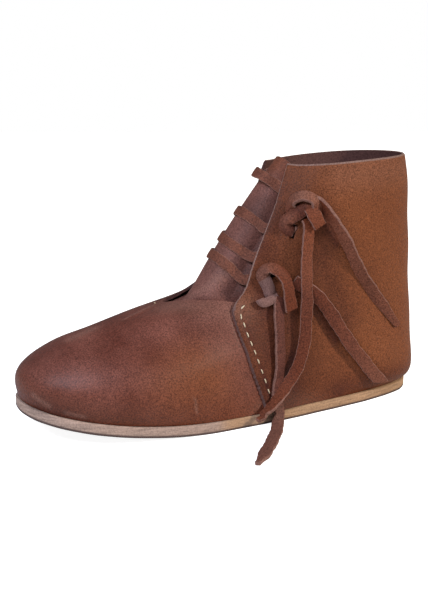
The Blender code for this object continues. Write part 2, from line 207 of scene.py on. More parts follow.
def rounded_corners(points: Array, rounds: int = 3) -> Array:
    """Cuts the corners of a route over and over, which never leaves the space it bends round.

    Args:
        points: Corner points of the route.
        rounds: How often each corner is cut.

    Returns:
        A smooth route with the same two ends.
    """
    for _ in range(rounds):
        near = 0.75 * points[:-1] + 0.25 * points[1:]
        far = 0.25 * points[:-1] + 0.75 * points[1:]
        cut = np.stack([near, far], axis=1).reshape(-1, points.shape[1])
        points = np.concatenate([points[:1], cut, points[-1:]])
    return points


def distance_to_route(points: Array, route: Array) -> tuple[Array, Array]:
    """Measures how far points lie from a route.

    Args:
        points: Points to measure.
        route: Corner points of the route.

    Returns:
        The distance of each point, and how far along the route its nearest place is, from 0 to 1.
    """
    lengths = np.linalg.norm(np.diff(route, axis=0), axis=1)
    starts = np.concatenate([[0], np.cumsum(lengths)])
    best = np.full(len(points), np.inf)
    along = np.zeros(len(points))
    for i, length in enumerate(lengths):
        run = route[i + 1] - route[i]
        t = np.clip((points - route[i]) @ run / length ** 2, 0, 1)
        gap = np.linalg.norm(points - route[i] - t[:, None] * run, axis=1)
        nearer = gap < best
        best = np.where(nearer, gap, best)
        along = np.where(nearer, (starts[i] + t * length) / starts[-1], along)
    return best, along


@dataclass(frozen=True)
class Last:
    """The form of the foot, with the edges that the leather is cut to."""

    sole_length: float = 270.0
    ball_width: float = 90.0
    collar_height: float = 160.0
    toe_spring: float = 16.0
    spring_start: float = 160.0
    skirt_drop: float = 20.0
    footprint_middle: tuple[float, float, float] = (133.738, 1.921, 0.0)
    # back_x, front_x, back_z, front_z, outer half-widths at 30, 60, 90, 120, 150 degrees, then inner ones.
    # Lengths are in hundredths of sole_length, heights of collar_height and half-widths of ball_width.
    rings: tuple[tuple[float, ...], ...] = (
        (0.5, 99.3, 4.25, 4.25, 26.0, 39.0, 47.5, 47.0, 33.0, 28.0, 33.5, 33.5, 44.5, 36.5),
        (-0.7, 99.1, 10.5, 14.5, 35.0, 40.0, 43.5, 52.5, 35.0, 31.0, 36.5, 35.5, 46.5, 39.0),
        (-0.7, 92.2, 22.5, 25.5, 31.0, 40.0, 42.0, 48.0, 31.0, 31.0, 37.5, 36.5, 44.5, 34.5),
        (-0.3, 85.0, 35.5, 32.0, 28.0, 38.0, 40.0, 39.5, 23.5, 28.0, 36.5, 38.0, 38.0, 26.5),
        (0.6, 72.6, 49.5, 40.5, 25.5, 36.5, 39.0, 34.5, 21.0, 25.5, 36.5, 38.0, 34.5, 22.0),
        (1.1, 60.2, 62.5, 47.0, 24.5, 36.5, 39.5, 34.0, 20.0, 24.5, 36.5, 39.5, 34.0, 20.0),
        (2.3, 51.8, 75.5, 62.5, 24.5, 37.0, 40.0, 34.5, 20.0, 24.5, 37.0, 40.0, 34.5, 20.0),
        (3.2, 43.5, 88.0, 80.0, 24.5, 38.0, 40.5, 35.5, 20.5, 24.5, 38.0, 41.0, 35.5, 20.5),
        (5.2, 38.3, 100.0, 95.5, 24.5, 38.5, 40.5, 36.5, 21.0, 24.5, 38.5, 42.0, 36.5, 21.0),
    )
    # Row and degrees of the outer quarter's front edge, which runs on as the lap over the vamp
    outer_edge: tuple[Place, ...] = (
        (0.0, 87.8), (0.65, 88.7), (1.14, 90.9), (1.55, 94.1), (2.01, 97.9), (2.56, 101.7), (3.08, 106.4),
        (3.54, 112.5), (4.1, 121.6), (4.94, 133.8),
        (5.43, 138.5), (5.86, 141.8), (6.26, 145.2), (6.61, 148.8),
        (6.99, 152.8), (7.39, 156.7), (8.0, 160.5),
    )
    # Row and degrees of the inner front edge
    inner_edge: tuple[Place, ...] = (
        (0.0, 196.0), (2.0, 196.0), (3.5, 194.0), (4.5, 193.5), (4.7, 197.0), (4.85, 203.0), (5.0, 210.0),
        (5.3, 217.5), (5.6, 220.5), (6.3, 223.0), (7.0, 218.5), (7.5, 212.0), (8.0, 204.0),
    )

    @cached_property
    def sizes(self) -> Array:
        """Ring table in millimetres."""
        units = [self.sole_length] * 2 + [self.collar_height] * 2 + [self.ball_width] * 10
        return np.array(self.rings) * np.array(units) / 100

    @property
    def collar_row(self) -> int:
        """Row of the topmost ring."""
        return len(self.rings) - 1

    def toe_rise(self, x: Array) -> Array:
        """Gives how far the toe spring lifts the shoe at this length."""
        run = self.sole_length - self.spring_start
        return self.toe_spring * (np.clip(x - self.spring_start, 0, None) / run) ** 2

    def widths(self, half_widths: Array, angle: Array) -> Array:
        """Works out the sideways place on rings, as a smooth wave round each.

        Args:
            half_widths: Ten half-widths for each place.
            angle: Angle round the ring, in radians.

        Returns:
            Sideways place in millimetres.
        """
        outer, inner = half_widths[:, :5], half_widths[:, 5:]
        ends = np.zeros((len(angle), 1))
        around = np.hstack([ends, outer, ends, -inner[:, ::-1]])
        waves = np.fft.rfft(around, axis=1) / around.shape[1]
        order = np.arange(waves.shape[1])
        weight = np.where((order == 0) | (order == order[-1]), 1, 2)
        return (weight * (waves * np.exp(1j * angle[:, None] * order)).real).sum(axis=1)

    def surface(self, rows: Array, degrees: Array) -> Array:
        """Gives points on the last.

        Args:
            rows: Ring rows.
            degrees: Angles round the ring.

        Returns:
            The points, in the same grid shape.
        """
        rows, degrees = np.broadcast_arrays(rows, degrees)
        ring = natural_spline(self.sizes, rows.ravel())
        angle = np.radians(degrees.ravel())
        back_x, front_x, back_z, front_z = ring[:, :4].T
        along = (1 - np.cos(angle)) / 2
        x = back_x + along * (front_x - back_x)
        y = self.widths(ring[:, 4:], angle)
        z = back_z + along * (front_z - back_z) + self.toe_rise(x)
        return np.stack([x, y, z], axis=-1).reshape(rows.shape + (3,))

    def skin(self, rows: Array, degrees: Array, lift: Array | float) -> tuple[Array, Array]:
        """Lifts places off the last. Below row 0 they drop straight past the sole.

        Args:
            rows: Ring rows.
            degrees: Angles round the ring.
            lift: Distance along the outward normal.

        Returns:
            The points and the outward normals.
        """
        rows, degrees, lift = np.broadcast_arrays(np.asarray(rows, float), degrees, lift)
        on_last = np.maximum(rows, 0)
        points = self.surface(on_last, degrees)
        points[..., 2] += self.skirt_drop * np.minimum(rows, 0)
        upward = self.surface(on_last + 0.02, degrees) - self.surface(on_last - 0.02, degrees)
        around = self.surface(on_last, degrees + 0.5) - self.surface(on_last, degrees - 0.5)
        normals = np.cross(upward, around)
        normals[..., 2] *= rows > 0
        normals = unit(normals)
        return points + lift[..., None] * normals, normals

    def route(self, places: Sequence[Place]) -> Array:
        """Gives the points on the last at these rows and degrees."""
        rows, degrees = np.array(places).T
        return self.skin(rows, degrees, 0.0)[0]

    def edges(self, row: Array | float) -> tuple[Array, Array]:
        """Gives the angles of the outer and the inner front edge."""
        return smooth_curve(self.outer_edge, row), smooth_curve(self.inner_edge, row)

    def between_edges(self, row: Array | float, share: Array | float) -> Array:
        """Gives the angle this share of the way from the outer front edge to the inner one."""
        outer, inner = self.edges(row)
        return outer + share * (inner - outer)

    def to_frame(self, points: Array) -> Array:
        """Turns millimetres from the heel end into metres in the frame."""
        return (np.asarray(points) - np.array(self.footprint_middle)) * MM


LAST = Last()


def streaks(points: Array, table: Iterable[Streak]) -> Array:
    """Adds up soft streaks along places on the last.

    Args:
        points: Grid of points on the last.
        table: The streaks.

    Returns:
        Their share at each point.
    """
    flat = points.reshape(-1, 3)
    total = np.zeros(len(flat))
    for places, wide, share in table:
        gap, _ = distance_to_route(flat, LAST.route(places))
        total += share * np.exp(-(gap / wide) ** 2)
    return total.reshape(points.shape[:-1])


class Shell:
    """Points and faces of a piece while it is put together."""

    def __init__(self) -> None:
        """Starts an empty piece."""
        self.points: list[Array] = []
        self.zones: list[Array] = []
        self.faces: list[tuple[int, ...]] = []
        self.slots: list[int] = []
        self.count = 0

    def add_points(self, points: Array, zones: Array | None = None) -> Array:
        """Adds a grid of points.

        Args:
            points: Points in millimetres, in any grid shape.
            zones: Four zone values for each point, or None.

        Returns:
            The points' numbers, in the same grid shape.
        """
        flat = points.reshape(-1, 3)
        number = self.count + np.arange(len(flat)).reshape(points.shape[:-1])
        self.points.append(flat)
        self.zones.append(np.zeros((len(flat), 4)) if zones is None else zones.reshape(-1, 4))
        self.count += len(flat)
        return number

    def add_band(self, first: Iterable[int], second: Iterable[int], slot: int, closed: bool = False) -> None:
        """Joins two rows of points with faces.

        Args:
            first: Point numbers of one row.
            second: Point numbers of the other row.
            slot: Material slot of the faces.
            closed: Whether the rows run right round.
        """
        pairs = [(int(a), int(b)) for a, b in zip(first, second)]
        following = pairs[1:] + pairs[:1] if closed else pairs[1:]
        for (a, b), (c, d) in zip(pairs, following):
            self.add_face((a, c, d, b), slot)

    def add_face(self, corners: Sequence[int], slot: int) -> None:
        """Adds one face."""
        self.faces.append(tuple(int(i) for i in corners))
        self.slots.append(int(slot))

    def piece(self, name: str, coats: Coats, sharp: float = 40.0) -> Object:
        """Makes the object, in the frame.

        Args:
            name: Name of the piece.
            coats: Its materials.
            sharp: Angle in degrees from which an edge is shaded as sharp.

        Returns:
            The new object.
        """
        points = np.concatenate(self.points)
        zones = np.concatenate(self.zones)
        used = np.unique(np.concatenate([np.array(f) for f in self.faces]))
        place = np.full(len(points), -1)
        place[used] = np.arange(len(used))
        faces = [tuple(int(place[i]) for i in face) for face in self.faces]
        mesh = bpy.data.meshes.new(name)
        mesh.from_pydata(LAST.to_frame(points[used]).tolist(), [], faces)
        mesh.polygons.foreach_set("material_index", np.array(self.slots, np.int32))
        corner_points = np.empty(len(mesh.loops), np.int32)
        mesh.loops.foreach_get("vertex_index", corner_points)
        layer = mesh.attributes.new("zones", "FLOAT_COLOR", "CORNER")
        layer.data.foreach_set("color", zones[used][corner_points].astype(np.float32).ravel())
        turned = bmesh.new()
        turned.from_mesh(mesh)
        bmesh.ops.recalc_face_normals(turned, faces=turned.faces)
        turned.to_mesh(mesh)
        turned.free()
        for coat in coats:
            mesh.materials.append(coat)
        mesh.shade_smooth()
        mesh.set_sharp_from_angle(angle=math.radians(sharp))
        return link_object(name, mesh)


def hand_over(piece: Object, slot: Slot, *nodes: str) -> Object:
    """Puts a finished piece on the body, in place of its solids.

    Args:
        piece: The piece.
        slot: Its material slot; not used.
        nodes: Solids that it stands for.

    Returns:
        The piece.
    """
    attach(piece, BODY)
    if nodes:
        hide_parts(*nodes)
    LOG.info("%s: %d faces for %s", piece.name, len(piece.data.polygons), ", ".join(nodes) or "no solid")
    return piece


class Paint:
    """A material in the making, with short ways to add what leather and thread need."""

    def __init__(self, name: str) -> None:
        """Starts the material.

        Args:
            name: Its name.
        """
        self.material = bpy.data.materials.new(name)
        self.material.use_nodes = True
        self.tree = self.material.node_tree

    @cached_property
    def where(self) -> NodeSocket:
        """Place on the piece, in metres."""
        return add_node(self.tree, "TexCoord").outputs["Object"]

    @cached_property
    def zones(self) -> tuple[NodeSocket, ...]:
        """Zone values of the piece: panel, height, soil and painted shade, and rubbed wear and painted
        highlight.
        """
        layer = add_node(self.tree, "Attribute", attribute_name="zones").outputs
        return (*add_node(self.tree, "SeparateColor", {0: layer["Color"]}).outputs, layer["Alpha"])

    def noise(self, size_mm: float, detail: float, rough: float = 0.5) -> NodeSocket:
        """Adds noise with features of this size."""
        sockets = {"Vector": self.where, "Scale": 1 / (size_mm * MM), "Detail": detail, "Roughness": rough}
        return add_node(self.tree, "TexNoise", sockets).outputs[0]

    def remap(
        self, value: NodeSocket, start: Place = (0.0, 1.0), end: Place = (0.0, 1.0), smooth: bool = False,
    ) -> NodeSocket:
        """Stretches a value from the start range to the end range, and keeps it there.

        Args:
            value: The value.
            start: Range that it comes from.
            end: Range that it goes to.
            smooth: Whether it eases in and out.

        Returns:
            The new value.
        """
        names = ("Value", "From Min", "From Max", "To Min", "To Max")
        kind = "SMOOTHSTEP" if smooth else "LINEAR"
        sockets = dict(zip(names, (value, *start, *end)))
        return add_node(self.tree, "MapRange", sockets, interpolation_type=kind).outputs[0]

    def math(self, operation: str, *values: NodeSocket | float) -> NodeSocket:
        """Works out one operation."""
        return add_node(self.tree, "Math", dict(enumerate(values)), operation=operation).outputs[0]

    def mix(
        self, share: NodeSocket | float, first: NodeSocket | str, second: NodeSocket | str,
        blend: str = "MIX",
    ) -> NodeSocket:
        """Mixes two colours, each a socket or a hex colour.

        Args:
            share: Share of the second one.
            first: One colour.
            second: The other colour.
            blend: How they are mixed.

        Returns:
            The mixed colour.
        """
        tones = [linear(tone) if isinstance(tone, str) else tone for tone in (first, second)]
        sockets = {0: share, 6: tones[0], 7: tones[1]}
        return add_node(self.tree, "Mix", sockets, data_type="RGBA", blend_type=blend).outputs[2]

    def finish(
        self, values: Mapping[str, object], height: NodeSocket | None = None, deep_mm: float = 0.0,
    ) -> Material:
        """Fills the shader.

        Args:
            values: A constant, or a socket to link from, for each input.
            height: Relief of the surface, if it has any.
            deep_mm: Depth of the relief.

        Returns:
            The material.
        """
        inputs = self.tree.nodes["Principled BSDF"].inputs
        for name, value in values.items():
            fill(self.tree, inputs[name], value)
        if height is not None:
            sockets = {"Strength": 1.0, "Distance": deep_mm * MM, "Height": height}
            fill(self.tree, inputs["Normal"], add_node(self.tree, "Bump", sockets).outputs[0])
        return self.material


@dataclass(frozen=True)
class GrainLeather:
    """Vegetable-tanned leather, grain side out and rubbed with oil: pebbled, mottled and half glossy."""

    name: str
    main: str
    warm: str
    dark: str
    roughness: float = 0.5
    ior: float = 1.5
    specular: float = 0.1
    coat: float = 0.02
    coat_roughness: float = 0.4
    # Pebbles of the grain. The real ones are finer, and are drawn this coarse so that they show.
    pebble_mm: float = 1.5
    pebble_deep_mm: float = 0.2
    # A hide takes dye unevenly, in clouds of two or three centimetres with finer ones inside
    mottle_mm: float = 30.0
    fleck_mm: float = 0.9
    fleck_strength: float = 0.5
    # Middle range of a noise, where most of its values lie
    middle: Place = (0.3, 0.7)
    # Tones of the lowest leather, of soil and painted shade, and of rubbed places and painted highlights
    low: str = "#5c2c12"
    soil_and_shade: str = "#40201a"
    worn: str = "#8f6c5e"

    def material(self) -> Material:
        """Builds the material.

        Returns:
            The material, with pebbles, mottling, panels, darker lower edges, soil and painted shade, and
            rubbed places and painted highlights.
        """
        paint = Paint(self.name)
        clouds = paint.noise(self.mottle_mm, 4.0, 0.6)
        flecks = paint.noise(self.fleck_mm, 3.0, 0.65)
        pebbles = add_node(paint.tree, "TexVoronoi", {
            "Vector": paint.where, "Scale": 1 / (self.pebble_mm * MM), "Randomness": 1.0, "Smoothness": 0.6,
        }, feature="SMOOTH_F1").outputs["Distance"]
        colour = paint.mix(paint.remap(clouds, self.middle), self.dark, self.main)
        colour = self.zone_colour(paint, colour, clouds)
        shade = paint.remap(flecks, self.middle, (1 - self.fleck_strength, 1 + self.fleck_strength))
        return paint.finish({
            "Base Color": paint.mix(1.0, colour, shade, "MULTIPLY"),
            "Roughness": paint.remap(flecks, self.middle, (self.roughness - 0.07, self.roughness + 0.08)),
            "IOR": self.ior,
            "Specular IOR Level": self.specular,
            # The vamp is polished, the quarter nearly matt
            "Coat Weight": paint.remap(paint.zones[0], end=(self.coat, 0.0)),
            "Coat Roughness": self.coat_roughness,
        }, paint.math("MULTIPLY_ADD", pebbles, -1.0, flecks), self.pebble_deep_mm)

    def zone_colour(self, paint: Paint, colour: NodeSocket, clouds: NodeSocket) -> NodeSocket:
        """Warms the quarter, darkens the leather towards the sole and with soil and painted shade, and pales
        it where it is rubbed and where a painted highlight lies.

        Args:
            paint: The material so far.
            colour: Colour of the vamp.
            clouds: Mottling that also breaks up the soil and the painted shade.

        Returns:
            The zoned colour.
        """
        panel, height, soil_and_shade, rubbed_and_highlit = paint.zones
        warm = paint.mix(0.55, paint.mix(clouds, self.dark, self.warm), self.warm)
        colour = paint.mix(panel, colour, warm)
        low = paint.remap(height, (0.0, 0.2), (0.55, 0.0), smooth=True)
        colour = paint.mix(low, colour, self.low)
        patchy = paint.remap(clouds, (0.35, 0.65), (0.55, 1.0))
        # Darkens with soil and with painted shade and shadows
        colour = paint.mix(paint.math("MULTIPLY", soil_and_shade, patchy), colour, self.soil_and_shade)
        # Pales with wear and with painted highlights and sheen
        return paint.mix(rubbed_and_highlit, colour, self.worn)


@dataclass(frozen=True)
class RawLeather:
    """Flesh side or cut edge of leather: fibrous and dull."""

    name: str
    pale: str
    dark: str
    fibre_mm: float = 1.2
    roughness: float = 0.85
    specular: float = 0.25
    nap_deep_mm: float = 0.25
    # Darker tone below the throat, where the lap's edge is waxed, or none
    waxed: str = ""

    def material(self) -> Material:
        """Builds the material.

        Returns:
            The material, a dull felt of fibres in two tones.
        """
        paint = Paint(self.name)
        fibres = paint.noise(self.fibre_mm, 5.0, 0.7)
        colour = paint.mix(paint.remap(fibres, (0.35, 0.65)), self.dark, self.pale)
        if self.waxed:
            low = paint.remap(paint.zones[1], (0.5, 0.6), (0.7, 0.0))
            colour = paint.mix(low, colour, self.waxed)
        values = {"Base Color": colour, "Roughness": self.roughness, "Specular IOR Level": self.specular}
        return paint.finish(values, fibres, self.nap_deep_mm)


@dataclass(frozen=True)
class SoleLeather:
    """Thick undyed oak-bark sole leather, cut and left raw: pale, layered at its edge, with a painted contact
    shadow as a dark line at its foot.
    """

    name: str = "oak_bark_sole_leather"
    pale: str = "#937d70"
    tan: str = "#9b7b5e"
    # Tone of the painted contact shadow along the floor
    dark: str = "#3a2b28"
    layer_mm: float = 0.9
    run_mm: float = 14.0
    grit_mm: float = 1.0
    patch_mm: float = 38.0
    worn_deep_mm: float = 0.22
    # How fast the tan gives way to pale towards the toe, for each metre
    toe_pale: float = 4.0
    roughness: float = 0.78
    specular: float = 0.3

    def material(self) -> Material:
        """Builds the material.

        Returns:
            The material, layered level by level with a painted contact shadow as a dark line along the floor.
        """
        paint = Paint(self.name)
        run, layer = 1 / (self.run_mm * MM), 1 / (self.layer_mm * MM)
        stretch = {"Vector": paint.where, "Scale": (run, run, layer)}
        stretched = add_node(paint.tree, "Mapping", stretch).outputs[0]
        layers = add_node(paint.tree, "TexNoise", {
            "Vector": stretched, "Scale": 1.0, "Detail": 4.0, "Roughness": 0.6,
        }).outputs[0]
        worn = paint.math("ADD", layers, paint.noise(self.grit_mm, 3.0, 0.7))
        along = add_node(paint.tree, "SeparateXYZ", {0: paint.where}).outputs[0]
        patches = paint.math("MULTIPLY_ADD", along, -self.toe_pale, paint.noise(self.patch_mm, 2.0))
        colour = paint.mix(paint.remap(patches, (0.3, 0.6), smooth=True), self.pale, self.tan)
        colour = paint.mix(1.0, colour, paint.remap(worn, (0.7, 1.3), (0.6, 1.4)), "MULTIPLY")
        # Painted contact shadow: darkens the lowest part of the edge
        foot = paint.remap(paint.zones[1], (0.16, 0.32), (0.9, 0.0), smooth=True)
        colour = paint.mix(foot, colour, self.dark)
        values = {"Base Color": colour, "Roughness": self.roughness, "Specular IOR Level": self.specular}
        return paint.finish(values, worn, self.worn_deep_mm)


@dataclass(frozen=True)
class WaxedLinen:
    """Waxed linen thread: cream, twisted, with a faint shine."""

    name: str = "waxed_linen_thread"
    cream: str = "#d6c6aa"
    shade: str = "#9c8868"
    twist_mm: float = 0.7
    roughness: float = 0.55

    def material(self) -> Material:
        """Builds the material.

        Returns:
            The material, cream with darker twists.
        """
        paint = Paint(self.name)
        twist = add_node(paint.tree, "TexWave", {
            "Vector": paint.where, "Scale": 1 / (self.twist_mm * MM) / 2, "Distortion": 1.0,
        }, bands_direction="DIAGONAL").outputs["Fac"]
        return paint.finish({
            "Base Color": paint.mix(twist, self.shade, self.cream), "Roughness": self.roughness,
        })


@dataclass(frozen=True)
class Finishes:
    """Every finish of the shoe, made once."""

    upper: GrainLeather = GrainLeather(
        "vegetable_tanned_upper_leather", "#6b4036", "#784527", "#4e271e", coat=0.17, fleck_mm=0.8,
        fleck_strength=0.62)
    tongue: GrainLeather = GrainLeather("vegetable_tanned_tongue_leather", "#7b5147", "#74432f", "#5a3b34")
    thong: GrainLeather = GrainLeather(
        "cut_thong_leather", "#5c352b", "#6a341a", "#482822", roughness=0.62, pebble_mm=1.1, mottle_mm=9.0,
        fleck_strength=0.6)
    flesh: RawLeather = RawLeather("flesh_side_of_upper", "#66453f", "#482e2a")
    cut: RawLeather = RawLeather("cut_edge_of_upper", "#8c7065", "#654b43", fibre_mm=0.9, waxed="#4c3230")
    thong_back: RawLeather = RawLeather("flesh_side_of_thong", "#82615a", "#553c36", fibre_mm=0.6)
    thong_cut: RawLeather = RawLeather("cut_edge_of_thong", "#8a6456", "#5c3d36", fibre_mm=0.9)
    insole: RawLeather = RawLeather("flesh_side_insole", "#5f4a3e", "#43332b", fibre_mm=1.6)
    sole: SoleLeather = SoleLeather()
    thread: WaxedLinen = WaxedLinen()

    @cached_property
    def made(self) -> dict[str, Material]:
        """Materials by finish."""
        return {name: getattr(self, name).material() for name in self.__dataclass_fields__}


@dataclass(frozen=True)
class Crease:
    """A soft trough, or a ridge where deep is negative, along places on the last."""

    places: tuple[Place, ...]
    wide: float
    deep: float
    # Share of its length over which each end fades, and height of its two shoulders
    fade: float = 0.3
    shoulder: float = 0.35

    def lift(self, points: Array) -> Array:
        """Works out how far the crease moves points along their normals.

        Args:
            points: Points on the last.

        Returns:
            The lift of each point, fading to nothing at both ends of the crease.
        """
        corners = np.array(self.places)
        steps = np.linspace(0, len(corners) - 1, 6 * (len(corners) - 1) + 1)
        gap, along = distance_to_route(points, LAST.route(natural_spline(corners, steps)))
        ends = soft_step(np.minimum(along, 1 - along) / self.fade)
        trough = np.exp(-(gap / self.wide) ** 2)
        shoulders = self.shoulder * np.exp(-((gap - 2 * self.wide) / self.wide) ** 2)
        return -self.deep * ends * (trough - shoulders)


@dataclass
class Upper:
    """The wrap-round upper, lapped and sewn on its outer side."""

    wall: float = 1.8
    # Height of the lap, the gap before the vamp in degrees, the dent beside it and how far back it fades
    lap_step: float = 1.9
    lap_edge: float = 0.3
    lap_dent: float = 0.5
    dent_wide: float = 1.1
    lap_fade: float = 12.0
    # How far cut edges are rounded off, and the rows of the collar's rim
    edge_round: tuple[float, ...] = (0.0, 0.15, 0.5)
    rim_round: float = 0.5
    rim_band: float = 0.045
    # Grid rows below the throat down to which the outer front edge shows a pale cut line
    pale_rows: int = 6
    throat_row: float = 4.5
    throat_fade: float = 1.3
    # Degrees and row of the vamp's throat edge
    throat_edge: tuple[Place, ...] = (
        (110.0, 4.5), (127.5, 4.5), (137.0, 4.67), (147.0, 4.78), (160.0, 4.82), (172.0, 4.78),
        (183.0, 4.62), (193.0, 4.33), (215.0, 4.5), (235.0, 4.5),
    )
    low_rows: int = 58
    high_rows: int = 40
    seam_band: float = 9.0
    back_columns: int = 186
    seam_columns: int = 20
    front_columns: int = 150
    slit_length: float = 8.6
    slit_width: float = 2.6
    # Row and degrees of each stitch along the lap, from the throat down to the sole
    stitches: tuple[Place, ...] = (
        (4.14, 118.6), (3.76, 113.7), (3.46, 108.9), (3.11, 104.5), (2.76, 101.1), (2.38, 98.2), (2.01, 95.5),
        (1.66, 92.6), (1.33, 89.9), (0.94, 87.6), (0.56, 86.0), (0.2, 84.8),
    )
    groove_wide: float = 0.9
    groove_deep: float = 0.5
    # Width of the painted shade along the stitch groove
    groove_painted_shade: float = 0.8
    # Degrees from which the leather warms towards the quarter, and over how many
    quarter_start: float = -120.0
    quarter_fade: float = 60.0
    # Soiled toe: middle and width in degrees, height in rows
    toe_soil: tuple[float, float, float] = (156.0, 16.0, 0.5)
    # Painted shade behind the outer front edge: share, reach in degrees, top row and rows over which it fades
    front_painted_shade: tuple[float, float, float, float] = (0.8, 44.0, 8.6, 1.4)
    # Paler streaks: a rubbed scratch and the rubbed lower edge of the toe, painted sheen and highlights along
    # the top of the vamp and its throat, and a painted highlight along the collar
    painted_highlights_and_rubs: tuple[Streak, ...] = (
        (((1.21, 111.6), (0.9, 109.7), (0.52, 108.9)), 0.5, 0.35),
        (((0.5, 165.0), (0.3, 157.0)), 1.6, 0.25),
        (((0.22, 150.0), (0.2, 143.0)), 1.3, 0.25),
        (((3.68, 173.1), (4.03, 177.8), (4.34, 188.8)), 1.0, 0.3),
        (((2.6, 178.0), (3.2, 180.0)), 4.0, 0.25),
        (((4.3, 126.0), (4.5, 150.0), (4.5, 170.0)), 11.0, 0.26),
        (((7.6, 50.0), (7.7, 110.0)), 12.0, 0.16),
    )
    # Darker streaks: painted shade in the hollow across the quarter, darker low on the heel, painted shade
    # below the knots and painted shadows beside the back tails
    shade_and_stains: tuple[Streak, ...] = (
        (((6.5, 112.0), (5.42, 96.7), (4.22, 80.8), (3.15, 67.8)), 11.0, 0.6),
        (((0.5, 62.0), (0.9, 40.0), (0.9, 20.0)), 9.0, 0.5),
        (((4.3, 112.0), (3.4, 104.0), (2.4, 94.0)), 6.0, 0.75),
        (((2.7, 112.0), (3.4, 122.0)), 10.0, 0.2),
        (((3.6, 92.0), (2.2, 84.0), (1.0, 80.0)), 7.0, 0.4),
        (((5.6, 108.0), (4.6, 96.0)), 8.0, 0.35),
        (((4.76, 104.1), (4.15, 92.1), (3.68, 83.2), (3.04, 75.0), (2.4, 69.1)), 3.5, 0.75),
        (((6.97, 118.4), (6.63, 110.6), (6.24, 101.4), (5.85, 93.1)), 4.0, 0.65),
        (((2.6, 150.0), (1.9, 165.0)), 9.0, 0.2),
    )
    # Warmer patches on the vamp
    warm_patches: tuple[Streak, ...] = (
        (((1.2, 104.0), (1.3, 116.0)), 22.0, 0.5),
        (((2.0, 113.0), (2.4, 118.0)), 16.0, 0.35),
    )
    # How far the inner collar corner flares out, below the collar in rows and behind its edge in degrees
    flare: float = 2.4
    flare_rows: float = 1.1
    flare_degrees: float = 26.0
    # How unevenly the outer front edge is cut, in degrees
    ragged: float = 0.1
    # Main creases
    creases: tuple[Crease, ...] = (
        Crease(((6.08, 99.6), (5.27, 85.6), (4.04, 68.9), (3.03, 58.0)), 9.0, -0.9),
        Crease(((6.15, 108.2), (5.42, 96.7), (4.22, 80.8), (3.15, 67.8)), 8.0, 1.1),
        Crease(((4.79, 83.0), (4.3, 72.1)), 1.6, 0.36),
        Crease(((4.44, 78.0), (3.98, 67.5)), 1.6, 0.36),
        Crease(((4.05, 72.6), (3.72, 64.2)), 1.5, 0.3),
        Crease(((2.46, 55.1), (2.22, 45.3)), 1.4, 0.32),
        Crease(((2.22, 55.6), (2.0, 46.3)), 1.4, 0.3),
        Crease(((1.99, 56.1), (1.79, 48.3)), 1.4, 0.3),
        Crease(((1.88, 72.6), (1.11, 63.0)), 2.4, 0.25),
        Crease(((3.68, 173.1), (4.03, 177.8), (4.34, 188.8)), 1.8, -0.45),
        Crease(((1.21, 111.6), (0.9, 109.7), (0.52, 108.9)), 1.3, 0.14),
        Crease(((3.06, 129.1), (2.11, 117.4)), 3.0, 0.18),
        Crease(((3.15, 126.2), (2.26, 114.3)), 3.0, 0.18),
        Crease(((2.9, 232.0), (2.0, 246.0)), 4.0, 0.35),
        Crease(((3.3, 238.0), (2.3, 254.0)), 4.0, 0.3),
        Crease(((5.6, 300.0), (4.6, 315.0)), 5.0, 0.4),
        Crease(((1.4, 10.0), (1.6, 350.0 - 360)), 4.0, 0.3),
    )

    @property
    def lap(self) -> int:
        """Grid column of the outer quarter's front edge."""
        return self.back_columns + self.seam_columns - 1

    def places(self) -> tuple[Array, Array, Array]:
        """Lays out the grid of the sheet.

        Returns:
            Row, angle and lap lift of every grid point.
        """
        levels = np.concatenate([
            np.linspace(0, self.throat_row, self.low_rows, endpoint=False),
            np.linspace(self.throat_row, LAST.collar_row - self.rim_band, self.high_rows - 1),
            [LAST.collar_row],
        ])
        rows, degrees, laps = [], [], []
        for level in levels:
            outer, inner = (float(edge) for edge in LAST.edges(level))
            outer += self.ragged * (math.sin(31 * level) + 0.7 * math.sin(47 * level + 1))
            around = np.concatenate([
                np.linspace(inner - 360, outer - self.seam_band, self.back_columns, endpoint=False),
                np.linspace(outer - self.seam_band, outer, self.seam_columns),
                np.linspace(outer + self.lap_edge, inner, self.front_columns + 1)[:-1],
            ])
            behind = outer - around
            dent = self.lap_dent * np.exp(-(behind / self.dent_wide) ** 2)
            lap = np.where(behind >= 0, self.lap_lift(behind), -dent)
            high = soft_step(1 - (LAST.collar_row - level) / self.flare_rows)
            lap = lap + self.flare * high * soft_step(1 - (around - inner + 360) / self.flare_degrees)
            fade = np.clip(1 - ((level - self.throat_row) / self.throat_fade) ** 2, 0, 1) ** 2
            shift = smooth_curve(self.throat_edge, np.mod(around, 360)) - self.throat_row
            rows.append(level + fade * shift)
            degrees.append(around)
            laps.append(lap)
        return np.array(rows), np.array(degrees), np.array(laps)

    def lap_lift(self, behind: Array) -> Array:
        """Gives the lift of the lap this many degrees behind its edge."""
        return self.lap_step * soft_step(1 - behind / self.lap_fade)

    def relief(self, points: Array) -> Array:
        """Adds up the creases and the stitch groove.

        Args:
            points: Grid of points on the last.

        Returns:
            The lift of each grid point.
        """
        flat = points.reshape(-1, 3)
        gap, _ = distance_to_route(flat, LAST.route(self.stitches))
        lift = sum(crease.lift(flat) for crease in self.creases)
        lift = lift - self.groove_deep * np.exp(-(gap / self.groove_wide) ** 2)
        return lift.reshape(points.shape[:-1])

    def rounding(self, shape: tuple[int, ...]) -> Array:
        """Works out how far cut edges are rounded off.

        Args:
            shape: Rows and columns of the grid.

        Returns:
            The drop of each grid point.
        """
        drop = np.zeros(shape)
        drop[-1, :self.lap + 1] = self.rim_round
        edge = slice(self.lap + 1 - len(self.edge_round), self.lap + 1)
        drop[:, edge] = np.maximum(drop[:, edge], self.edge_round)
        return drop

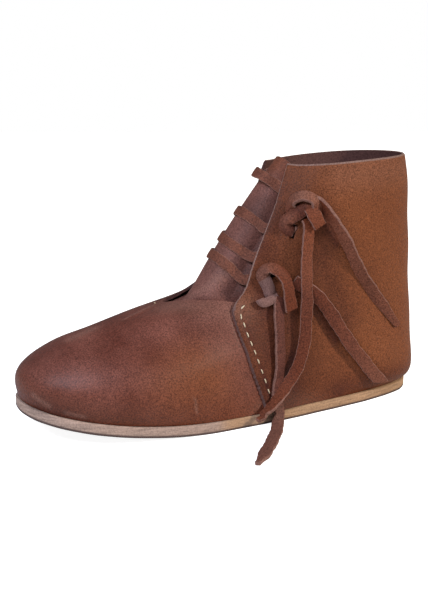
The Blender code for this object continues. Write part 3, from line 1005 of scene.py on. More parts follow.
    def zones(self, rows: Array, degrees: Array, bare: Array) -> Array:
        """Marks the zones that the finish reads.

        Args:
            rows: Ring rows.
            degrees: Angles, from the inner edge less a turn round to the front.
            bare: Points on the last there.

        Returns:
            Share of quarter, height from 0 to 1, share of soil and painted shade and share of rubbed leather
            and painted highlight for each place.
        """
        outer, _ = LAST.edges(rows)
        on_quarter = degrees <= outer + 2 * self.ragged
        quarter = soft_step((degrees - self.quarter_start) / self.quarter_fade) * on_quarter
        quarter = np.maximum(quarter, streaks(bare, self.warm_patches))
        middle, half, high = self.toe_soil
        toe = np.exp(-((np.mod(degrees, 360) - middle) / half) ** 2) * np.exp(-(rows / high) ** 2)
        # Painted shade behind the outer front edge
        share, reach, top, fade = self.front_painted_shade
        front = share * soft_step(1 - (outer - degrees) / reach) * soft_step((top - rows) / fade) * on_quarter
        # Soil on the toe plus painted shade behind the front edge, along the stitch groove and in the darker
        # streaks
        soil_and_shade = toe + front + streaks(bare, (*self.shade_and_stains, (self.stitches, self.groove_painted_shade, 1.0)))
        soil_and_shade, rubbed_and_highlit = (np.clip(share, 0, 1) for share in (soil_and_shade, streaks(bare, self.painted_highlights_and_rubs)))
        return np.stack([quarter, rows / LAST.collar_row, soil_and_shade, rubbed_and_highlit], axis=-1)

    def build(self, coats: Coats, cutters: Object) -> Object:
        """Builds the sheet and cuts its slits.

        Args:
            coats: Grain, flesh and cut-edge materials.
            cutters: Blocks to cut the slits with, removed afterwards.

        Returns:
            The upper.
        """
        rows, degrees, laps = self.places()
        bare, normals = LAST.skin(rows, degrees, 0.0)
        relief = self.relief(bare)
        free = soft_step((rows - self.throat_row + 0.2) / 0.6)
        zones = self.zones(rows, degrees, bare)
        shell = Shell()
        outside = laps + relief - self.rounding(rows.shape)
        outer = shell.add_points(bare + outside[..., None] * normals, zones)
        inside = free * laps - self.wall + 0.5 * relief
        inner = shell.add_points(bare + inside[..., None] * normals, zones)
        lap, throat = self.lap, self.low_rows
        back = list(range(lap + 1))
        front = list(range(lap, rows.shape[1])) + [0]
        for i in range(len(rows) - 1):
            rim = i == len(rows) - 2
            pale = i >= throat - self.pale_rows
            spans = [
                (columns, Face.CUT if cut else Face.GRAIN)
                for columns, cut in ((back[:-2], rim), (back[-3:], pale))
            ]
            if i < throat:
                spans += [(front[:2], Face.CUT), (front[1:], Face.GRAIN)]
            for columns, kind in spans:
                shell.add_band(outer[i, columns], outer[i + 1, columns], kind)
                shell.add_band(inner[i, columns], inner[i + 1, columns], Face.FLESH)
        shell.add_band(outer[0], inner[0], Face.CUT, closed=True)
        shell.add_band(outer[-1, back], inner[-1, back], Face.CUT)
        shell.add_band(outer[throat, front], inner[throat, front], Face.CUT)
        for edge, kind in ((0, Face.FLESH), (lap, Face.CUT)):
            shell.add_band(outer[throat:, edge], inner[throat:, edge], kind)
        return self.cut_slits(shell.piece("sewn_upper", coats, sharp=38.0), cutters)

    @staticmethod
    def cut_slits(piece: Object, cutters: Object) -> Object:
        """Cuts the blocks out of the upper.

        Args:
            piece: The upper.
            cutters: Blocks in one object, removed afterwards.

        Returns:
            The upper with its slits.
        """
        cut = piece.modifiers.new("slits", "BOOLEAN")
        cut.operation = "DIFFERENCE"
        cut.object = cutters
        graph = bpy.context.evaluated_depsgraph_get()
        mesh = bpy.data.meshes.new_from_object(piece.evaluated_get(graph))
        piece.modifiers.clear()
        piece.data = mesh
        bpy.data.objects.remove(cutters, do_unlink=True)
        return piece


@dataclass
class Seam:
    """The linen stitches that hold the lap, and the tack at the point of the throat."""

    upper: Upper
    long: float = 3.4
    thick: float = 0.8
    # How far it rises in the middle, how far it lies above the groove, and how much the first one slants
    arch: float = 0.3
    proud: float = 0.2
    slant: float = 0.6
    tack: tuple[Place, ...] = ((4.34, 192.6), (4.36, 189.4))
    tack_lift: float = 0.3
    sides: int = 8
    rings: int = 9

    def stitch(self, shell: Shell, ends: Array, normal: Array) -> None:
        """Adds one stitch, a short fat loop of thread.

        Args:
            shell: Piece that gets the stitch.
            ends: Its two end points.
            normal: Outward normal of the leather there.
        """
        turn = np.linspace(0, 2 * np.pi, self.sides, endpoint=False)[:, None]
        middle, half = ends.mean(axis=0), (ends[1] - ends[0]) / 2
        along = unit(half)
        across = unit(np.cross(normal, along))
        ring = np.cos(turn) * across + np.sin(turn) * np.cross(along, across)
        grid = []
        for share in np.linspace(-1, 1, self.rings):
            radius = self.thick / 2 * math.sqrt(max(1 - share ** 4, 0.02))
            grid.append(middle + share * half + normal * self.arch * (1 - share ** 2) + radius * ring)
        number = shell.add_points(np.array(grid))
        for first, second in zip(number, number[1:]):
            shell.add_band(first, second, 0, closed=True)
        for end in (0, -1):
            shell.add_face(number[end], 0)

    def build(self, finish: Material) -> Object:
        """Builds the stitches.

        Args:
            finish: Thread material.

        Returns:
            The stitches and the tack, as one piece.
        """
        shell = Shell()
        rows, degrees = np.array(self.upper.stitches).T
        lap = self.upper.lap_lift(LAST.edges(rows)[0] - degrees)
        points, normals = LAST.skin(rows, degrees, lap - self.upper.groove_deep + self.proud)
        along = unit(np.gradient(points, axis=0))
        first = points[0] - points[1]
        along[0] = unit(first - self.slant * np.cross(normals[0], first))
        for point, normal, run in zip(points, normals, along):
            self.stitch(shell, np.array([point - run * self.long / 2, point + run * self.long / 2]), normal)
        ends, normals = LAST.skin(*np.array(self.tack).T, self.tack_lift)
        self.stitch(shell, ends, normals[0])
        return shell.piece("lap_stitches", [finish])


@dataclass
class Tongue:
    """The loose tongue under the lacing."""

    foot: float = 4.2
    top: float = 8.2
    lap: float = 14.0
    # Row and lift of its hidden sides
    tuck: tuple[Place, ...] = ((4.2, -3.0), (4.7, -3.4), (5.0, -5.0), (5.4, -5.6), (8.2, -5.4))
    edge: float = 0.09
    thick: float = 1.6
    ripple: float = 0.08
    # Row and lift of the outer face along the middle
    middle: tuple[Place, ...] = (
        (4.2, -2.4), (4.8, -2.2), (5.1, 0.4), (5.5, 2.4), (6.0, 3.0), (7.0, 4.0), (7.6, 2.4), (8.2, -1.0),
    )
    rows: int = 64
    columns: int = 52
    # How far the top's corners are rounded down, in rows
    top_round: float = 0.5
    # Painted shade along the outer front edge, where the quarter's edge overhangs it, and how far across it
    # reaches
    soil_and_shade: float = 0.75
    soil_reach: float = 0.36
    # Shade where it goes under the vamp, how far up in rows, and how far across it starts and ends to fade
    foot_shade: float = 1.0
    foot_reach: float = 0.3
    foot_fade: tuple[float, float] = (0.3, 0.65)
    # Painted highlight streak down the tongue, and the row from which its top is warmer
    painted_highlights_and_rubs: tuple[Streak, ...] = ((((4.89, 174.2), (5.22, 165.9), (5.56, 158.3)), 3.5, 0.2),)
    warm_row: float = 7.3

    def lift(self, row: Array, share: Array) -> Array:
        """Gives the lift of the outer face.

        Args:
            row: Ring row.
            share: Share of the way from the outer front edge to the inner one.

        Returns:
            The lift.
        """
        from_middle = np.abs(2 * share - 1) / (1 - 2 * self.edge)
        bulge = np.clip(1 - from_middle ** 2, 0, None)
        tuck = smooth_curve(self.tuck, row)
        return tuck + bulge * (smooth_curve(self.middle, row) - tuck)

    def zones(self, rows: Array, degrees: Array, share: Array, throat_edge: Sequence[Place]) -> Array:
        """Marks the zones that the finish reads.

        Args:
            rows: Ring rows.
            degrees: Angles round the ring.
            share: Share of the way from the outer front edge to the inner one.
            throat_edge: Degrees and row of the vamp's edge over the tongue.

        Returns:
            Share of warm leather, height, share of painted shade and share of painted highlight for each
            place.
        """
        above = rows - smooth_curve(throat_edge, degrees)
        start, end = self.foot_fade
        foot = soft_step(1 - above / self.foot_reach) * soft_step((end - share) / (end - start))
        # Painted shade along the outer front edge and where it goes under the vamp
        soil_and_shade = np.maximum(self.soil_and_shade * soft_step(1 - share / self.soil_reach), self.foot_shade * foot)
        # Painted highlight streak
        rubbed_and_highlit = streaks(LAST.skin(rows, degrees, 0.0)[0], self.painted_highlights_and_rubs)
        warm = soft_step((rows - self.warm_row) / (LAST.collar_row - self.warm_row))
        return np.stack([warm, np.ones_like(rows), soil_and_shade, rubbed_and_highlit], axis=-1)

    def build(self, coats: Coats, throat_edge: Sequence[Place]) -> Object:
        """Builds the tongue.

        Args:
            coats: Grain, flesh and cut-edge materials.
            throat_edge: Degrees and row of the vamp's edge over the tongue.

        Returns:
            The tongue.
        """
        across = np.linspace(0, 1, self.columns)
        top = self.top - self.top_round * (2 * across - 1) ** 2
        rows = self.foot + np.linspace(0, 1, self.rows)[:, None] * (top - self.foot)
        outer, inner = LAST.edges(rows)
        degrees = outer - self.lap + across * (inner - outer + 2 * self.lap)
        share = (degrees - outer) / (inner - outer)
        ripple = np.sin(2 * np.pi * (across * 3.1 + rows * 0.22)) * np.sin(np.pi * across)
        lift = self.lift(rows, share) + self.ripple * (ripple - 1)
        zones = self.zones(rows, degrees, share, throat_edge)
        shell = Shell()
        face, back = (
            shell.add_points(LAST.skin(rows, degrees, lift - depth)[0], zones) for depth in (0.0, self.thick)
        )
        for i in range(self.rows - 1):
            shell.add_band(face[i], face[i + 1], Face.GRAIN)
            shell.add_band(back[i], back[i + 1], Face.FLESH)
        for end in (0, -1):
            shell.add_band(face[end], back[end], Face.CUT)
        for end in (0, -1):
            shell.add_band(face[:, end], back[:, end], Face.CUT)
        return shell.piece("loose_tongue", coats)


@dataclass
class Plate:
    """A sole or insole: the outline of the feather edge, grown, bent up along the toe spring."""

    name: str
    grow: float
    bottom: float
    top: float
    round_off: float = 0.7
    stations: int = 150
    wobble: float = 0.0

    def build(self, finish: Material) -> Object:
        """Builds the plate.

        Args:
            finish: Its material.

        Returns:
            The plate.
        """
        outline = LAST.sizes[:1] + np.array([-self.grow, self.grow, 0, 0] + [self.grow] * 10)
        angle = np.linspace(0, 2 * np.pi, 2 * self.stations, endpoint=False)
        back_x, front_x = outline[0, :2]
        x = (back_x + front_x) / 2 - np.cos(angle) * (front_x - back_x) / 2
        y = LAST.widths(np.repeat(outline[:, 4:], len(angle), axis=0), angle)
        normals = unit(np.stack([-np.gradient(y), np.gradient(x)], axis=1))
        wave = self.wobble * (np.sin(7 * angle + 1) + np.sin(13 * angle + 2) + 0.6 * np.sin(29 * angle))
        edge = self.round_off
        half = [(edge, 0.0), (0.3 * edge, 0.3 * edge), (0.0, edge)]
        levels = [(inset, self.bottom + height) for inset, height in half]
        levels.append((0.1, (self.bottom + self.top) / 2))
        levels += [(inset, self.top - height) for inset, height in reversed(half)]
        shell = Shell()
        rings = []
        for inset, height in levels:
            ring_x = x - (inset - wave) * normals[:, 0]
            ring_y = y - (inset - wave) * normals[:, 1]
            points = np.stack([ring_x, ring_y, height + LAST.toe_rise(ring_x)], axis=1)
            share = (height - self.bottom) / (self.top - self.bottom)
            rings.append(shell.add_points(points, np.full((len(points), 4), share)))
        for lower, upper in zip(rings, rings[1:]):
            shell.add_band(lower, upper, 0, closed=True)
        for ring in (rings[0], rings[-1]):
            self.close(shell, ring)
        return shell.piece(self.name, [finish], sharp=50.0)

    def close(self, shell: Shell, ring: Array) -> None:
        """Closes the plate's top or bottom with ribs across it.

        Args:
            shell: The plate so far.
            ring: Point numbers of its rim, right round.
        """
        outer_side = ring[1:self.stations]
        inner_side = ring[:self.stations:-1]
        shell.add_band(outer_side, inner_side, 0)
        shell.add_face((ring[0], outer_side[0], inner_side[0]), 0)
        shell.add_face((ring[self.stations], inner_side[-1], outer_side[-1]), 0)


@dataclass(frozen=True)
class Bar:
    """A run of thong over the tongue, from a slit in the outer quarter to one on the inner side."""

    thong: str
    outer_row: float
    outer_degrees: float
    outer_edge: float
    inner_edge: float
    inner_row: float
    inner_degrees: float
    slack: float
    bow: float


@dataclass(frozen=True, kw_only=True)
class Strip:
    """How a stretch of thong is cut and curled, a little uneven along its edges."""

    width: float = 7.2
    thick: float = 2.3
    chamfer: float = 0.4
    # Length of its pointed end, and share of the width left at the point
    taper: float = 0.0
    tip: float = 1.0
    # How much longer one corner of its cut end is
    slant: float = 0.0
    # Angle its width bends through, in degrees, at its start and its end
    curl: Place = (20.0, 20.0)
    # Share of its length, from the start, that shows its flesh side
    flesh_out: float = 0.0

    @property
    def section(self) -> tuple[list[Place], list[Face]]:
        """Section through it.

        Returns:
            Corners, as a share of half its width and a depth each, and the face after each corner.
        """
        deep, cut = self.thick / 2, self.chamfer
        shoulder = 1 - cut / (self.width / 2)
        face = [(u, deep) for u in np.linspace(-shoulder, shoulder, 7)]
        face += [(1.0, deep - cut), (1.0, cut - deep)]
        back = [(-u, -depth) for u, depth in face]
        kinds = [[kind] * 6 + [Face.CUT] * 3 for kind in (Face.GRAIN, Face.FLESH)]
        return face + back, kinds[0] + kinds[1]

    def add_to(self, shell: Shell, points: Array, sides: Array, zones: Array, seed: float = 0.0) -> None:
        """Adds the strip to a piece.

        Args:
            shell: Piece that gets the strip.
            points: Its middle line.
            sides: Unit vectors across it.
            zones: Its zones, along the middle line or the same all along.
            seed: Where its unevenness starts.
        """
        along = np.concatenate([[0], np.cumsum(np.linalg.norm(np.diff(points, axis=0), axis=1))])
        ahead = unit(np.gradient(points, axis=0))
        faces_out = unit(np.cross(ahead, sides))
        sides = unit(np.cross(faces_out, ahead))
        left = 1 + 0.05 * np.sin(along / 3.1 + seed) + 0.04 * np.sin(along / 1.3 + 2 * seed)
        right = 1 + 0.05 * np.sin(along / 3.7 + 1.7 + seed) + 0.03 * np.sin(along / 1.1 + seed)
        if self.taper:
            ending = (1 - self.tip) * soft_step((along - along[-1] + self.taper) / self.taper)
            left, right = left * (1 - ending), right * (1 - 0.6 * ending)
        start, end = self.curl
        radius = self.width / np.radians(start + soft_step(along / along[-1]) * (end - start))
        late = self.slant / 2 * np.clip((along - along[-1]) / self.width + 1, 0, 1)[:, None]
        ring, kinds = self.section
        lines = []
        for across, through in ring:
            angle = across * (left if across > 0 else right) * self.width / 2 / radius
            sideways = (radius + through) * np.sin(angle)
            outward = (radius + through) * np.cos(angle) - radius
            line = points + sideways[:, None] * sides + outward[:, None] * faces_out
            lines.append(line + across * late * ahead)
        number = shell.add_points(np.array(lines), np.broadcast_to(zones, (len(ring), len(points), 4)))
        flip = {Face.GRAIN: Face.FLESH, Face.FLESH: Face.GRAIN, Face.CUT: Face.CUT}
        turned = int(self.flesh_out * (len(points) - 1))
        for k, kind in enumerate(kinds):
            near, far = number[k], number[(k + 1) % len(ring)]
            shell.add_band(near[:turned + 1], far[:turned + 1], flip[kind])
            shell.add_band(near[turned:], far[turned:], kind)
        for cap in (0, -1):
            shell.add_face(number[:, cap], Face.CUT)


@dataclass(frozen=True)
class Tail(Strip):
    """A knot, a stub or a loose end of thong, through places of row, degrees, lift and tilt of its face."""

    name: str
    places: tuple[tuple[float, float, float, float], ...]
    # Whether it is a loose cord, and the pieces tied to it
    free: bool = False
    beside: tuple[str, ...] = ()
    # Middle of a knot, as row and degrees: there the face tilts out from it and not to the sky
    round: Place | None = None
    # Turn about its own length, in degrees, at both ends
    turn: Place = (0.0, 0.0)
    # Share of its length, and how warm the leather is there, how far soil and painted shade darken it and how
    # far wear and painted highlights pale it
    tones: tuple[tuple[float, float, float, float], ...] = ((0.0, 0.5, 0.0, 0.0),)
    # Steps between its places, and how far off the last the middle of a knot lies
    steps: int = 14
    round_lift: float = 3.0

    def build(self, coats: Coats) -> tuple[Object, Array]:
        """Builds it along a smooth curve through its places.

        Args:
            coats: Grain, flesh and cut-edge materials.

        Returns:
            The piece and its middle line.
        """
        spans = len(self.places) - 1
        at = np.linspace(0, spans, self.steps * spans + 1)
        rows, degrees, lifts, tilts = natural_spline(np.array(self.places), at).T
        points, normals = LAST.skin(rows, degrees, lifts)
        tilts = np.clip(tilts, 0, 1)[:, None]
        away = np.array([0.0, 0.0, 1.0])
        if self.round:
            away = unit(points - LAST.skin(*np.array([self.round]).T, self.round_lift)[0])
        normals = unit((1 - tilts) * normals + tilts * away)
        sides = unit(np.cross(normals, np.gradient(points, axis=0)))
        along = at / spans
        turn = np.radians(self.turn[0] + along * (self.turn[1] - self.turn[0]))[:, None]
        normals = unit(np.cross(np.gradient(points, axis=0), sides))
        sides = np.cos(turn) * sides - np.sin(turn) * normals
        share, *columns = np.array(self.tones).T
        warm, soil_and_shade, rubbed_and_highlit = (np.interp(along, share, column) for column in columns)
        zones = np.stack([warm, np.ones_like(warm), soil_and_shade, rubbed_and_highlit], axis=1)
        shell = Shell()
        self.add_to(shell, points, sides, zones, float(len(self.name)))
        return shell.piece(self.name + "_strip", coats), points


@dataclass
class Lacing:
    """Two thongs, each threaded through four slits and knotted on the outer quarter."""

    tongue: Tongue
    upper: Upper
    strip: Strip = Strip(width=6.5, thick=1.8, curl=(16.0, 16.0))
    gap: float = 0.3
    tongue_gap: float = 0.35
    slit_end_lift: float = 0.5
    edge_share: float = 0.05
    # Zones of the bars: warm, clear of the sole, clean and a little rubbed
    bar_zones: tuple[float, float, float, float] = (0.6, 1.0, 0.0, 0.15)
    bar_shares: tuple[float, ...] = (0.15, 0.25, 0.37, 0.5, 0.63, 0.75, 0.85)
    bars: tuple[Bar, ...] = (
        Bar("thong_upper", 6.80, 136.0, 7.42, 7.76, 7.5, 229.0, 5.2, 0.05),
        Bar("thong_upper", 6.36, 126.5, 6.52, 6.82, 6.7, 236.0, 0.2, 0.09),
        Bar("thong_lower", 5.36, 126.5, 5.90, 6.36, 6.26, 236.0, 0.0, 0.08),
        Bar("thong_lower", 4.54, 112.5, 5.38, 6.08, 5.72, 232.0, 0.2, 0.18),
    )
    # On the knots, the stub and the start of the upper back tail the soil share is painted shade, and on the
    # knots the rubbed share is a painted highlight
    tails: tuple[Tail, ...] = (
        Tail("knot_upper", (
            (6.82, 136.0, 0.5, 0.2), (6.92, 138.8, 2.0, 0.4),
            (7.02, 139.8, 3.6, 0.5), (7.11, 138.0, 5.1, 0.52),
            (7.15, 133.6, 6.0, 0.52), (7.11, 128.0, 6.3, 0.5),
            (7.0, 123.2, 5.6, 0.45), (6.83, 119.8, 3.6, 0.35),
            (6.7, 118.2, 1.6, 0.3),
        ), width=7.8, round=(6.82, 129.0), curl=(18.0, 18.0), tones=(
            (0.0, 0.6, 0.4, 0.0), (0.25, 0.8, 0.1, 0.2), (0.5, 0.9, 0.0, 0.4), (0.75, 1.0, 0.0, 0.26),
            (1.0, 1.0, 0.3, 0.0),
        )),
        Tail("stub_upper", (
            (6.36, 126.7, 0.6, 0.0), (6.43, 131.6, 1.8, 0.1),
            (6.52, 135.0, 3.0, 0.1), (6.61, 135.6, 4.0, 0.1),
            (6.69, 133.2, 4.3, 0.1), (6.79, 130.0, 3.8, 0.15),
            (6.89, 127.2, 3.9, 0.2), (6.84, 124.2, 5.4, 0.2),
            (6.66, 119.4, 6.6, 0.1), (6.4, 112.2, 5.6, 0.0),
        ), width=8.2, round=(6.5, 130.0), curl=(150.0, 10.0), tones=(
            (0.0, 0.3, 0.5, 0.0), (0.25, 0.5, 0.0, 0.12), (0.4, 0.6, 0.0, 0.12), (0.55, 0.4, 0.5, 0.0),
            (0.72, 0.9, 0.1, 0.08),
            (1.0, 1.0, 0.0, 0.06),
        )),
        Tail("tail_upper_back", (
            (7.1, 127.4, 1.2, 0.0), (7.03, 120.9, 2.4, 0.0), (6.76, 112.5, 4.4, 0.0), (6.35, 101.4, 5.6, 0.0),
            (5.89, 91.1, 5.4, 0.0), (5.21, 80.0, 4.0, 0.0), (4.24, 64.8, 2.6, 0.0), (3.4, 51.4, 1.8, 0.0),
            (2.62, 40.1, 1.6, 0.0),
        ), width=7.6, taper=30.0, tip=0.45, free=True, turn=(-85.0, -30.0), tones=(
            (0.0, 1.0, 0.8, 0.0), (0.2, 1.0, 0.6, 0.0), (0.4, 1.0, 0.0, 0.2), (1.0, 1.0, 0.0, 0.18),
        )),
        Tail("tail_upper_front", (
            (6.61, 123.2, 2.0, 0.0), (6.39, 118.0, 3.0, 0.0),
            (6.01, 113.7, 4.4, 0.0), (5.56, 109.5, 5.0, 0.0),
            (4.8, 101.3, 5.0, 0.0), (4.2, 94.0, 5.0, 0.0), (3.43, 86.8, 5.0, 0.0), (2.62, 82.9, 4.8, 0.0),
            (1.87, 82.0, 5.0, 0.0), (1.27, 82.8, 5.4, 0.0), (0.57, 85.9, 6.0, 0.0), (0.1, 89.1, 6.6, 0.0),
            (-0.06, 92.5, 7.0, 0.0),
        ), taper=16.0, tip=0.3, free=True, beside=("knot_upper", "stub_upper"), turn=(30.0, -75.0), tones=(
            (0.0, 1.0, 0.3, 0.0), (0.1, 1.0, 0.0, 0.04), (0.28, 0.9, 0.0, 0.1), (0.42, 0.7, 0.4, 0.04),
            (0.7, 0.9, 0.3, 0.0), (1.0, 0.8, 0.1, 0.1),
        )),
        Tail("knot_lower", (
            (4.56, 112.8, 0.6, 0.0), (4.95, 120.4, 2.2, 0.2),
            (5.25, 127.0, 3.6, 0.35), (5.43, 131.2, 4.8, 0.45),
            (5.55, 131.2, 5.8, 0.55), (5.57, 128.0, 6.2, 0.55),
            (5.45, 122.4, 6.4, 0.5), (5.16, 115.4, 6.0, 0.42),
            (4.5, 105.2, 5.0, 0.2), (3.78, 95.1, 3.6, 0.0),
        ), width=7.8, round=(5.05, 118.0), curl=(130.0, 15.0), flesh_out=0.24, tones=(
            (0.0, 0.2, 0.1, 0.0), (0.3, 0.3, 0.0, 0.26), (0.5, 0.7, 0.0, 0.2), (0.7, 0.7, 0.15, 0.02),
            (1.0, 1.0, 0.45, 0.0),
        )),
        Tail("stub_lower", (
            (4.42, 108.0, 1.4, 0.0), (4.28, 109.2, 2.2, 0.0),
            (4.22, 111.6, 2.8, 0.0), (4.41, 116.0, 3.2, 0.0),
        ), width=5.0, curl=(90.0, 120.0), flesh_out=1.0),
        Tail("tail_lower_front", (
            (4.4, 106.9, 1.5, 0.0), (3.9, 100.8, 2.0, 0.0), (3.09, 93.3, 2.4, 0.0), (2.28, 89.4, 2.4, 0.0),
            (1.49, 86.3, 2.4, 0.0), (0.73, 85.0, 2.8, 0.0), (0.1, 85.0, 3.8, 0.0), (-0.16, 85.7, 5.6, 0.3),
            (-0.25, 88.0, 12.0, 1.0), (-0.255, 92.6, 25.0, 1.0), (-0.255, 98.3, 40.0, 1.0),
            (-0.255, 104.0, 55.5, 1.0),
        ), taper=16.0, tip=0.3, free=True, beside=("knot_lower", "stub_lower"), turn=(14.0, 0.0), tones=(
            (0.0, 0.0, 0.1, 0.0), (0.45, 0.0, 0.0, 0.02), (0.6, 0.0, 0.0, 0.22), (1.0, 0.0, 0.0, 0.22),
        )),
        Tail("tail_lower_back", (
            (5.06, 109.6, 2.4, 0.0), (4.72, 100.7, 3.0, 0.0), (4.27, 90.9, 3.8, 0.0), (3.74, 81.4, 4.4, 0.0),
            (3.14, 73.2, 4.6, 0.0), (2.51, 67.1, 4.3, 0.0), (1.97, 61.6, 3.7, 0.0), (1.54, 56.5, 3.1, 0.0),
            (1.14, 51.9, 2.6, 0.0), (0.75, 47.5, 2.2, 0.0),
        ), width=8.2, slant=9.0, free=True, turn=(-30.0, -6.0), tones=(
            (0.0, 0.6, 0.4, 0.0), (0.3, 0.7, 0.1, 0.02), (0.55, 0.6, 0.0, 0.06), (1.0, 1.0, 0.0, 0.24),
        )),
    )
    link_steps: int = 24

    @property
    def link_lift(self) -> float:
        """Lift of a thong that lies on the inner side."""
        return 2 * self.gap + self.strip.thick / 2

    def bar_places(self, bar: Bar) -> Array:
        """Lists places along a bar, under both front edges and over the tongue.

        Args:
            bar: The bar.

        Returns:
            Row, angle, lift and slope of the lift at each place.
        """
        low = -(self.upper.wall + self.link_lift)
        places = [(bar.outer_row, bar.outer_degrees, low, 0.0)]
        for share in (-self.edge_share, self.edge_share):
            places.append((bar.outer_edge, float(LAST.between_edges(bar.outer_edge, share)), low, 0.0))
        for share in self.bar_shares:
            row = bar.outer_edge + share * (bar.inner_edge - bar.outer_edge)
            row += bar.bow * math.sin(1.5 * math.pi * share)
            below, rest, above = (float(self.tongue.lift(row + step, share)) for step in (-0.1, 0.0, 0.1))
            lift = rest + self.tongue_gap + self.strip.thick / 2 + bar.slack * math.sin(math.pi * share) ** 2
            places.append((row, float(LAST.between_edges(row, share)), lift, (above - below) / 0.2))
        for share in (1 - self.edge_share, 1 + self.edge_share):
            places.append((bar.inner_edge, float(LAST.between_edges(bar.inner_edge, share)), low, 0.0))
        places.append((bar.inner_row, bar.inner_degrees, low, 0.0))
        return np.array(places)

    def bar_route(self, bar: Bar) -> tuple[Array, Array, list[tuple[Array, Array]]]:
        """Routes a bar whose two ends turn out through the slits.

        Args:
            bar: The bar.

        Returns:
            Corner points, vectors across the strip, and the centre and axes of each slit.
        """
        rows, degrees, lifts, slopes = self.bar_places(bar).T
        bare, normals = LAST.skin(rows, degrees, 0.0)
        square = unit(np.cross(normals, np.gradient(bare, axis=0)))
        points, _ = LAST.skin(rows, degrees, lifts)
        higher, _ = LAST.skin(rows + 0.1, degrees, lifts + 0.1 * slopes)
        lower, _ = LAST.skin(rows - 0.1, degrees, lifts - 0.1 * slopes)
        sides = unit(lower - higher)
        slits, ends = [], []
        for end, lift in zip((0, -1), (self.slit_end_lift, self.link_lift)):
            axes = np.array([square[end], np.cross(normals[end], square[end]), normals[end]])
            slits.append((bare[end], axes))
            ends.append(bare[end] + lift * normals[end])
        points = np.concatenate([ends[:1], points, ends[1:]])
        sides = np.concatenate([sides[:1], sides, sides[-1:]])
        return points, sides, slits

    def slit_cutters(self, finishes: Coats) -> Object:
        """Makes the blocks that cut all eight slits.

        Args:
            finishes: Materials of the upper, so that the slit walls get its cut edge.

        Returns:
            The blocks, as one object.
        """
        corners = np.array([(a, b, c) for a in (-0.5, 0.5) for b in (-0.5, 0.5) for c in (-0.5, 0.5)])
        sizes = np.array([self.upper.slit_length, self.upper.slit_width, 4 * self.upper.wall])
        sides = ((0, 1, 3, 2), (4, 6, 7, 5), (0, 4, 5, 1), (2, 3, 7, 6), (0, 2, 6, 4), (1, 5, 7, 3))
        shell = Shell()
        for bar in self.bars:
            for centre, axes in self.bar_route(bar)[2]:
                number = shell.add_points(centre + (corners * sizes) @ axes)
                for side in sides:
                    shell.add_face(number[list(side)], Face.CUT)
        return shell.piece("slit_blocks", finishes)

    def build_thong(self, name: str, coats: Coats) -> Object:
        """Builds one thong's bars and the link between their inner slits.

        Args:
            name: Node of the thong.
            coats: Grain, flesh and cut-edge materials.

        Returns:
            The thong.
        """
        shell = Shell()
        zones = np.array(self.bar_zones)
        bars = [bar for bar in self.bars if bar.thong == name]
        for number, bar in enumerate(bars):
            points, sides, _ = self.bar_route(bar)
            route = rounded_corners(np.hstack([points, sides]))
            self.strip.add_to(shell, route[:, :3], unit(route[:, 3:]), zones, 2.0 * number)
        first, second = (np.array([bar.inner_row, bar.inner_degrees]) for bar in bars)
        overrun = self.strip.width / 2 / (LAST.skirt_drop * (first[0] - second[0]))
        steps = np.linspace(-overrun, 1 + overrun, self.link_steps)[:, None]
        points, normals = LAST.skin(*(first + steps * (second - first)).T, self.link_lift)
        sides = unit(np.cross(normals, np.gradient(points, axis=0)))
        self.strip.add_to(shell, points, sides, zones)
        return shell.piece(name + "_strip", coats)

    def build(self, coats: Coats) -> None:
        """Args:
            coats: Grain, flesh and cut-edge materials.
        """
        for name in ("thong_upper", "thong_lower"):
            hand_over(self.build_thong(name, coats), Slot.THONG, name)
        made = {}
        for tail in self.tails:
            piece, points = tail.build(coats)
            made[tail.name] = hand_over(piece, Slot.THONG, tail.name), LAST.to_frame(points)
        for tail in self.tails:
            if not tail.free:
                continue
            piece, path = made[tail.name]


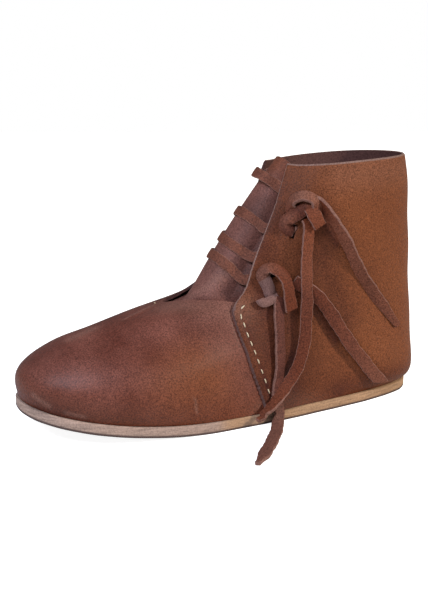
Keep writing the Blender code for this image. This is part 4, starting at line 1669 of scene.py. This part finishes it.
@dataclass
class Studio:
    """Pale floor, soft light and the camera."""

    yaw: float = 27.4387
    elevation: float = 12.3481
    roll: float = 0.6514
    distance: float = 563.70
    target: tuple[float, float, float] = (135.1, 0.0, 65.0)
    pixels_per_mm: float = 1.59096
    middle: Place = (227.879, 305.437)
    sensor: float = 36.0
    # Half the floor's width, and the lights' places, in metres
    floor_half: float = 6.0
    floor_colour: str = "#f4f4f4"
    floor_glow: float = 1.0
    key_from: tuple[float, float, float] = (-0.85, 0.75, 0.62)
    key_colour: str = "#fff4e6"
    key_strength: float = 2.8
    key_spread: float = 7.0
    sky_strength: float = 0.18
    window_from: tuple[float, float, float] = (0.54, 0.38, 0.70)
    window_colour: str = "#e6ecff"
    window_strength: float = 6.0
    window_size: Place = (0.4, 0.3)
    window_distance: float = 0.75
    window_target: tuple[float, float, float] = (0.09, 0.03, 0.03)

    def place_camera(self) -> None:
        """Sets the camera at the picture's angle, with its middle where the picture has it."""
        yaw, lift, roll = (math.radians(a) for a in (self.yaw, self.elevation, self.roll))
        back = Vector((math.sin(yaw) * math.cos(lift), math.cos(yaw) * math.cos(lift), math.sin(lift)))
        right = Vector((-math.cos(yaw), math.sin(yaw), 0.0))
        up = back.cross(right)
        right, up = right * math.cos(roll) + up * math.sin(roll), up * math.cos(roll) - right * math.sin(roll)
        place = Vector(LAST.to_frame(np.array(self.target))) + back * self.distance * MM
        data = bpy.data.cameras.new("camera")
        camera = link_object("camera", data)
        camera.matrix_world = Matrix.Translation(place) @ Matrix((right, up, back)).transposed().to_4x4()
        longest = max(IMAGE_SIZE)
        data.sensor_width = self.sensor
        data.lens = self.sensor * self.pixels_per_mm * self.distance / longest
        data.shift_x = -(self.middle[0] - IMAGE_SIZE[0] / 2) / longest
        data.shift_y = (self.middle[1] - IMAGE_SIZE[1] / 2) / longest
        data.clip_start = 0.01
        bpy.context.scene.camera = camera

    def lay_floor(self) -> None:
        """Lays a matt floor far beyond the picture."""
        half = self.floor_half
        corners = [(-half, -half, 0), (half, -half, 0), (half, half, 0), (-half, half, 0)]
        mesh = bpy.data.meshes.new("floor")
        mesh.from_pydata(corners, [], [(0, 1, 2, 3)])
        # A light table: matt white acrylic that looks evenly lit, so shadows on it stay faint
        paint = Paint("backlit_white_acrylic")
        white = linear(self.floor_colour)
        seen = add_node(paint.tree, "LightPath").outputs["Is Camera Ray"]
        mesh.materials.append(paint.finish({
            "Base Color": white, "Roughness": 0.95, "Specular IOR Level": 0.1, "Emission Color": white,
            "Emission Strength": paint.math("MULTIPLY", seen, self.floor_glow),
        }))
        link_object("floor", mesh)

    @staticmethod
    def hang_lamp(kind: str, name: str, colour: str, strength: float, toward: Sequence[float]) -> Object:
        """Hangs a lamp that shines from one side.

        Args:
            kind: Type of the lamp.
            name: Its name.
            colour: Its colour.
            strength: Its strength.
            toward: Direction from the shoe to the lamp.

        Returns:
            The lamp.
        """
        data = bpy.data.lights.new(name, kind)
        data.energy = strength
        data.color = linear(colour)[:3]
        lamp = link_object(name, data)
        lamp.rotation_mode = "QUATERNION"
        lamp.rotation_quaternion = Vector(toward).to_track_quat("Z", "Y")
        return lamp

    def light(self) -> None:
        """Lights the shoe with a broad key from behind on the right, a window at the toe and a white sky."""
        scene = bpy.context.scene
        scene.view_settings.view_transform = "Standard"
        scene.world = bpy.data.worlds.new("white_room")
        scene.world.use_nodes = True
        tree = scene.world.node_tree
        seen = add_node(tree, "LightPath").outputs["Is Camera Ray"]
        sky = {"Value": seen, "To Min": self.sky_strength, "To Max": 1.0}
        strength = add_node(tree, "MapRange", sky).outputs[0]
        for name, value in (("Strength", strength), ("Color", (1.0, 1.0, 1.0, 1.0))):
            fill(tree, tree.nodes["Background"].inputs[name], value)
        key = self.hang_lamp("SUN", "key", self.key_colour, self.key_strength, self.key_from)
        key.data.angle = math.radians(self.key_spread)
        pane = self.hang_lamp("AREA", "window", self.window_colour, self.window_strength, self.window_from)
        pane.data.shape = "RECTANGLE"
        pane.data.size, pane.data.size_y = self.window_size
        away = Vector(self.window_from).normalized() * self.window_distance
        pane.location = Vector(self.window_target) + away

    def build(self) -> None:
        """Builds the studio."""
        self.place_camera()
        self.lay_floor()
        self.light()


@dataclass
class Shoe:
    """The whole shoe, piece by piece."""

    finishes: Finishes = field(default_factory=Finishes)
    upper: Upper = field(default_factory=Upper)
    tongue: Tongue = field(default_factory=Tongue)
    sole: Plate = field(default_factory=lambda: Plate("cut_sole", 1.5, 0.0, 6.5, wobble=0.12))
    insole: Plate = field(default_factory=lambda: Plate("cut_insole", -3.3, 6.8, 9.3, round_off=0.4))

    def build(self) -> None:
        """Builds and dresses every piece."""
        made = self.finishes.made
        lacing = Lacing(self.tongue, self.upper)
        lacing.build([made["thong"], made["thong_back"], made["thong_cut"]])
        upper_finishes = [made["upper"], made["flesh"], made["cut"]]
        cutters = lacing.slit_cutters(upper_finishes)
        hand_over(self.upper.build(upper_finishes, cutters), Slot.UPPER, "upper")
        hand_over(Seam(self.upper).build(made["thread"]), Slot.UPPER)
        tongue = self.tongue.build([made["tongue"], made["flesh"], made["cut"]], self.upper.throat_edge)
        hand_over(tongue, Slot.TONGUE, "tongue")
        hand_over(self.sole.build(made["sole"]), Slot.SOLE, "sole")
        hand_over(self.insole.build(made["insole"]), Slot.INSOLE, "insole")


def write_sizes() -> None:
    """Updates the view layer."""
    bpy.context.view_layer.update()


def main() -> None:
    """Builds the studio and the shoe."""
    logging.basicConfig(level=logging.INFO, format="%(name)s: %(message)s")
    Studio().build()
    Shoe().build()
    write_sizes()


if __name__ == "__main__":
    main()
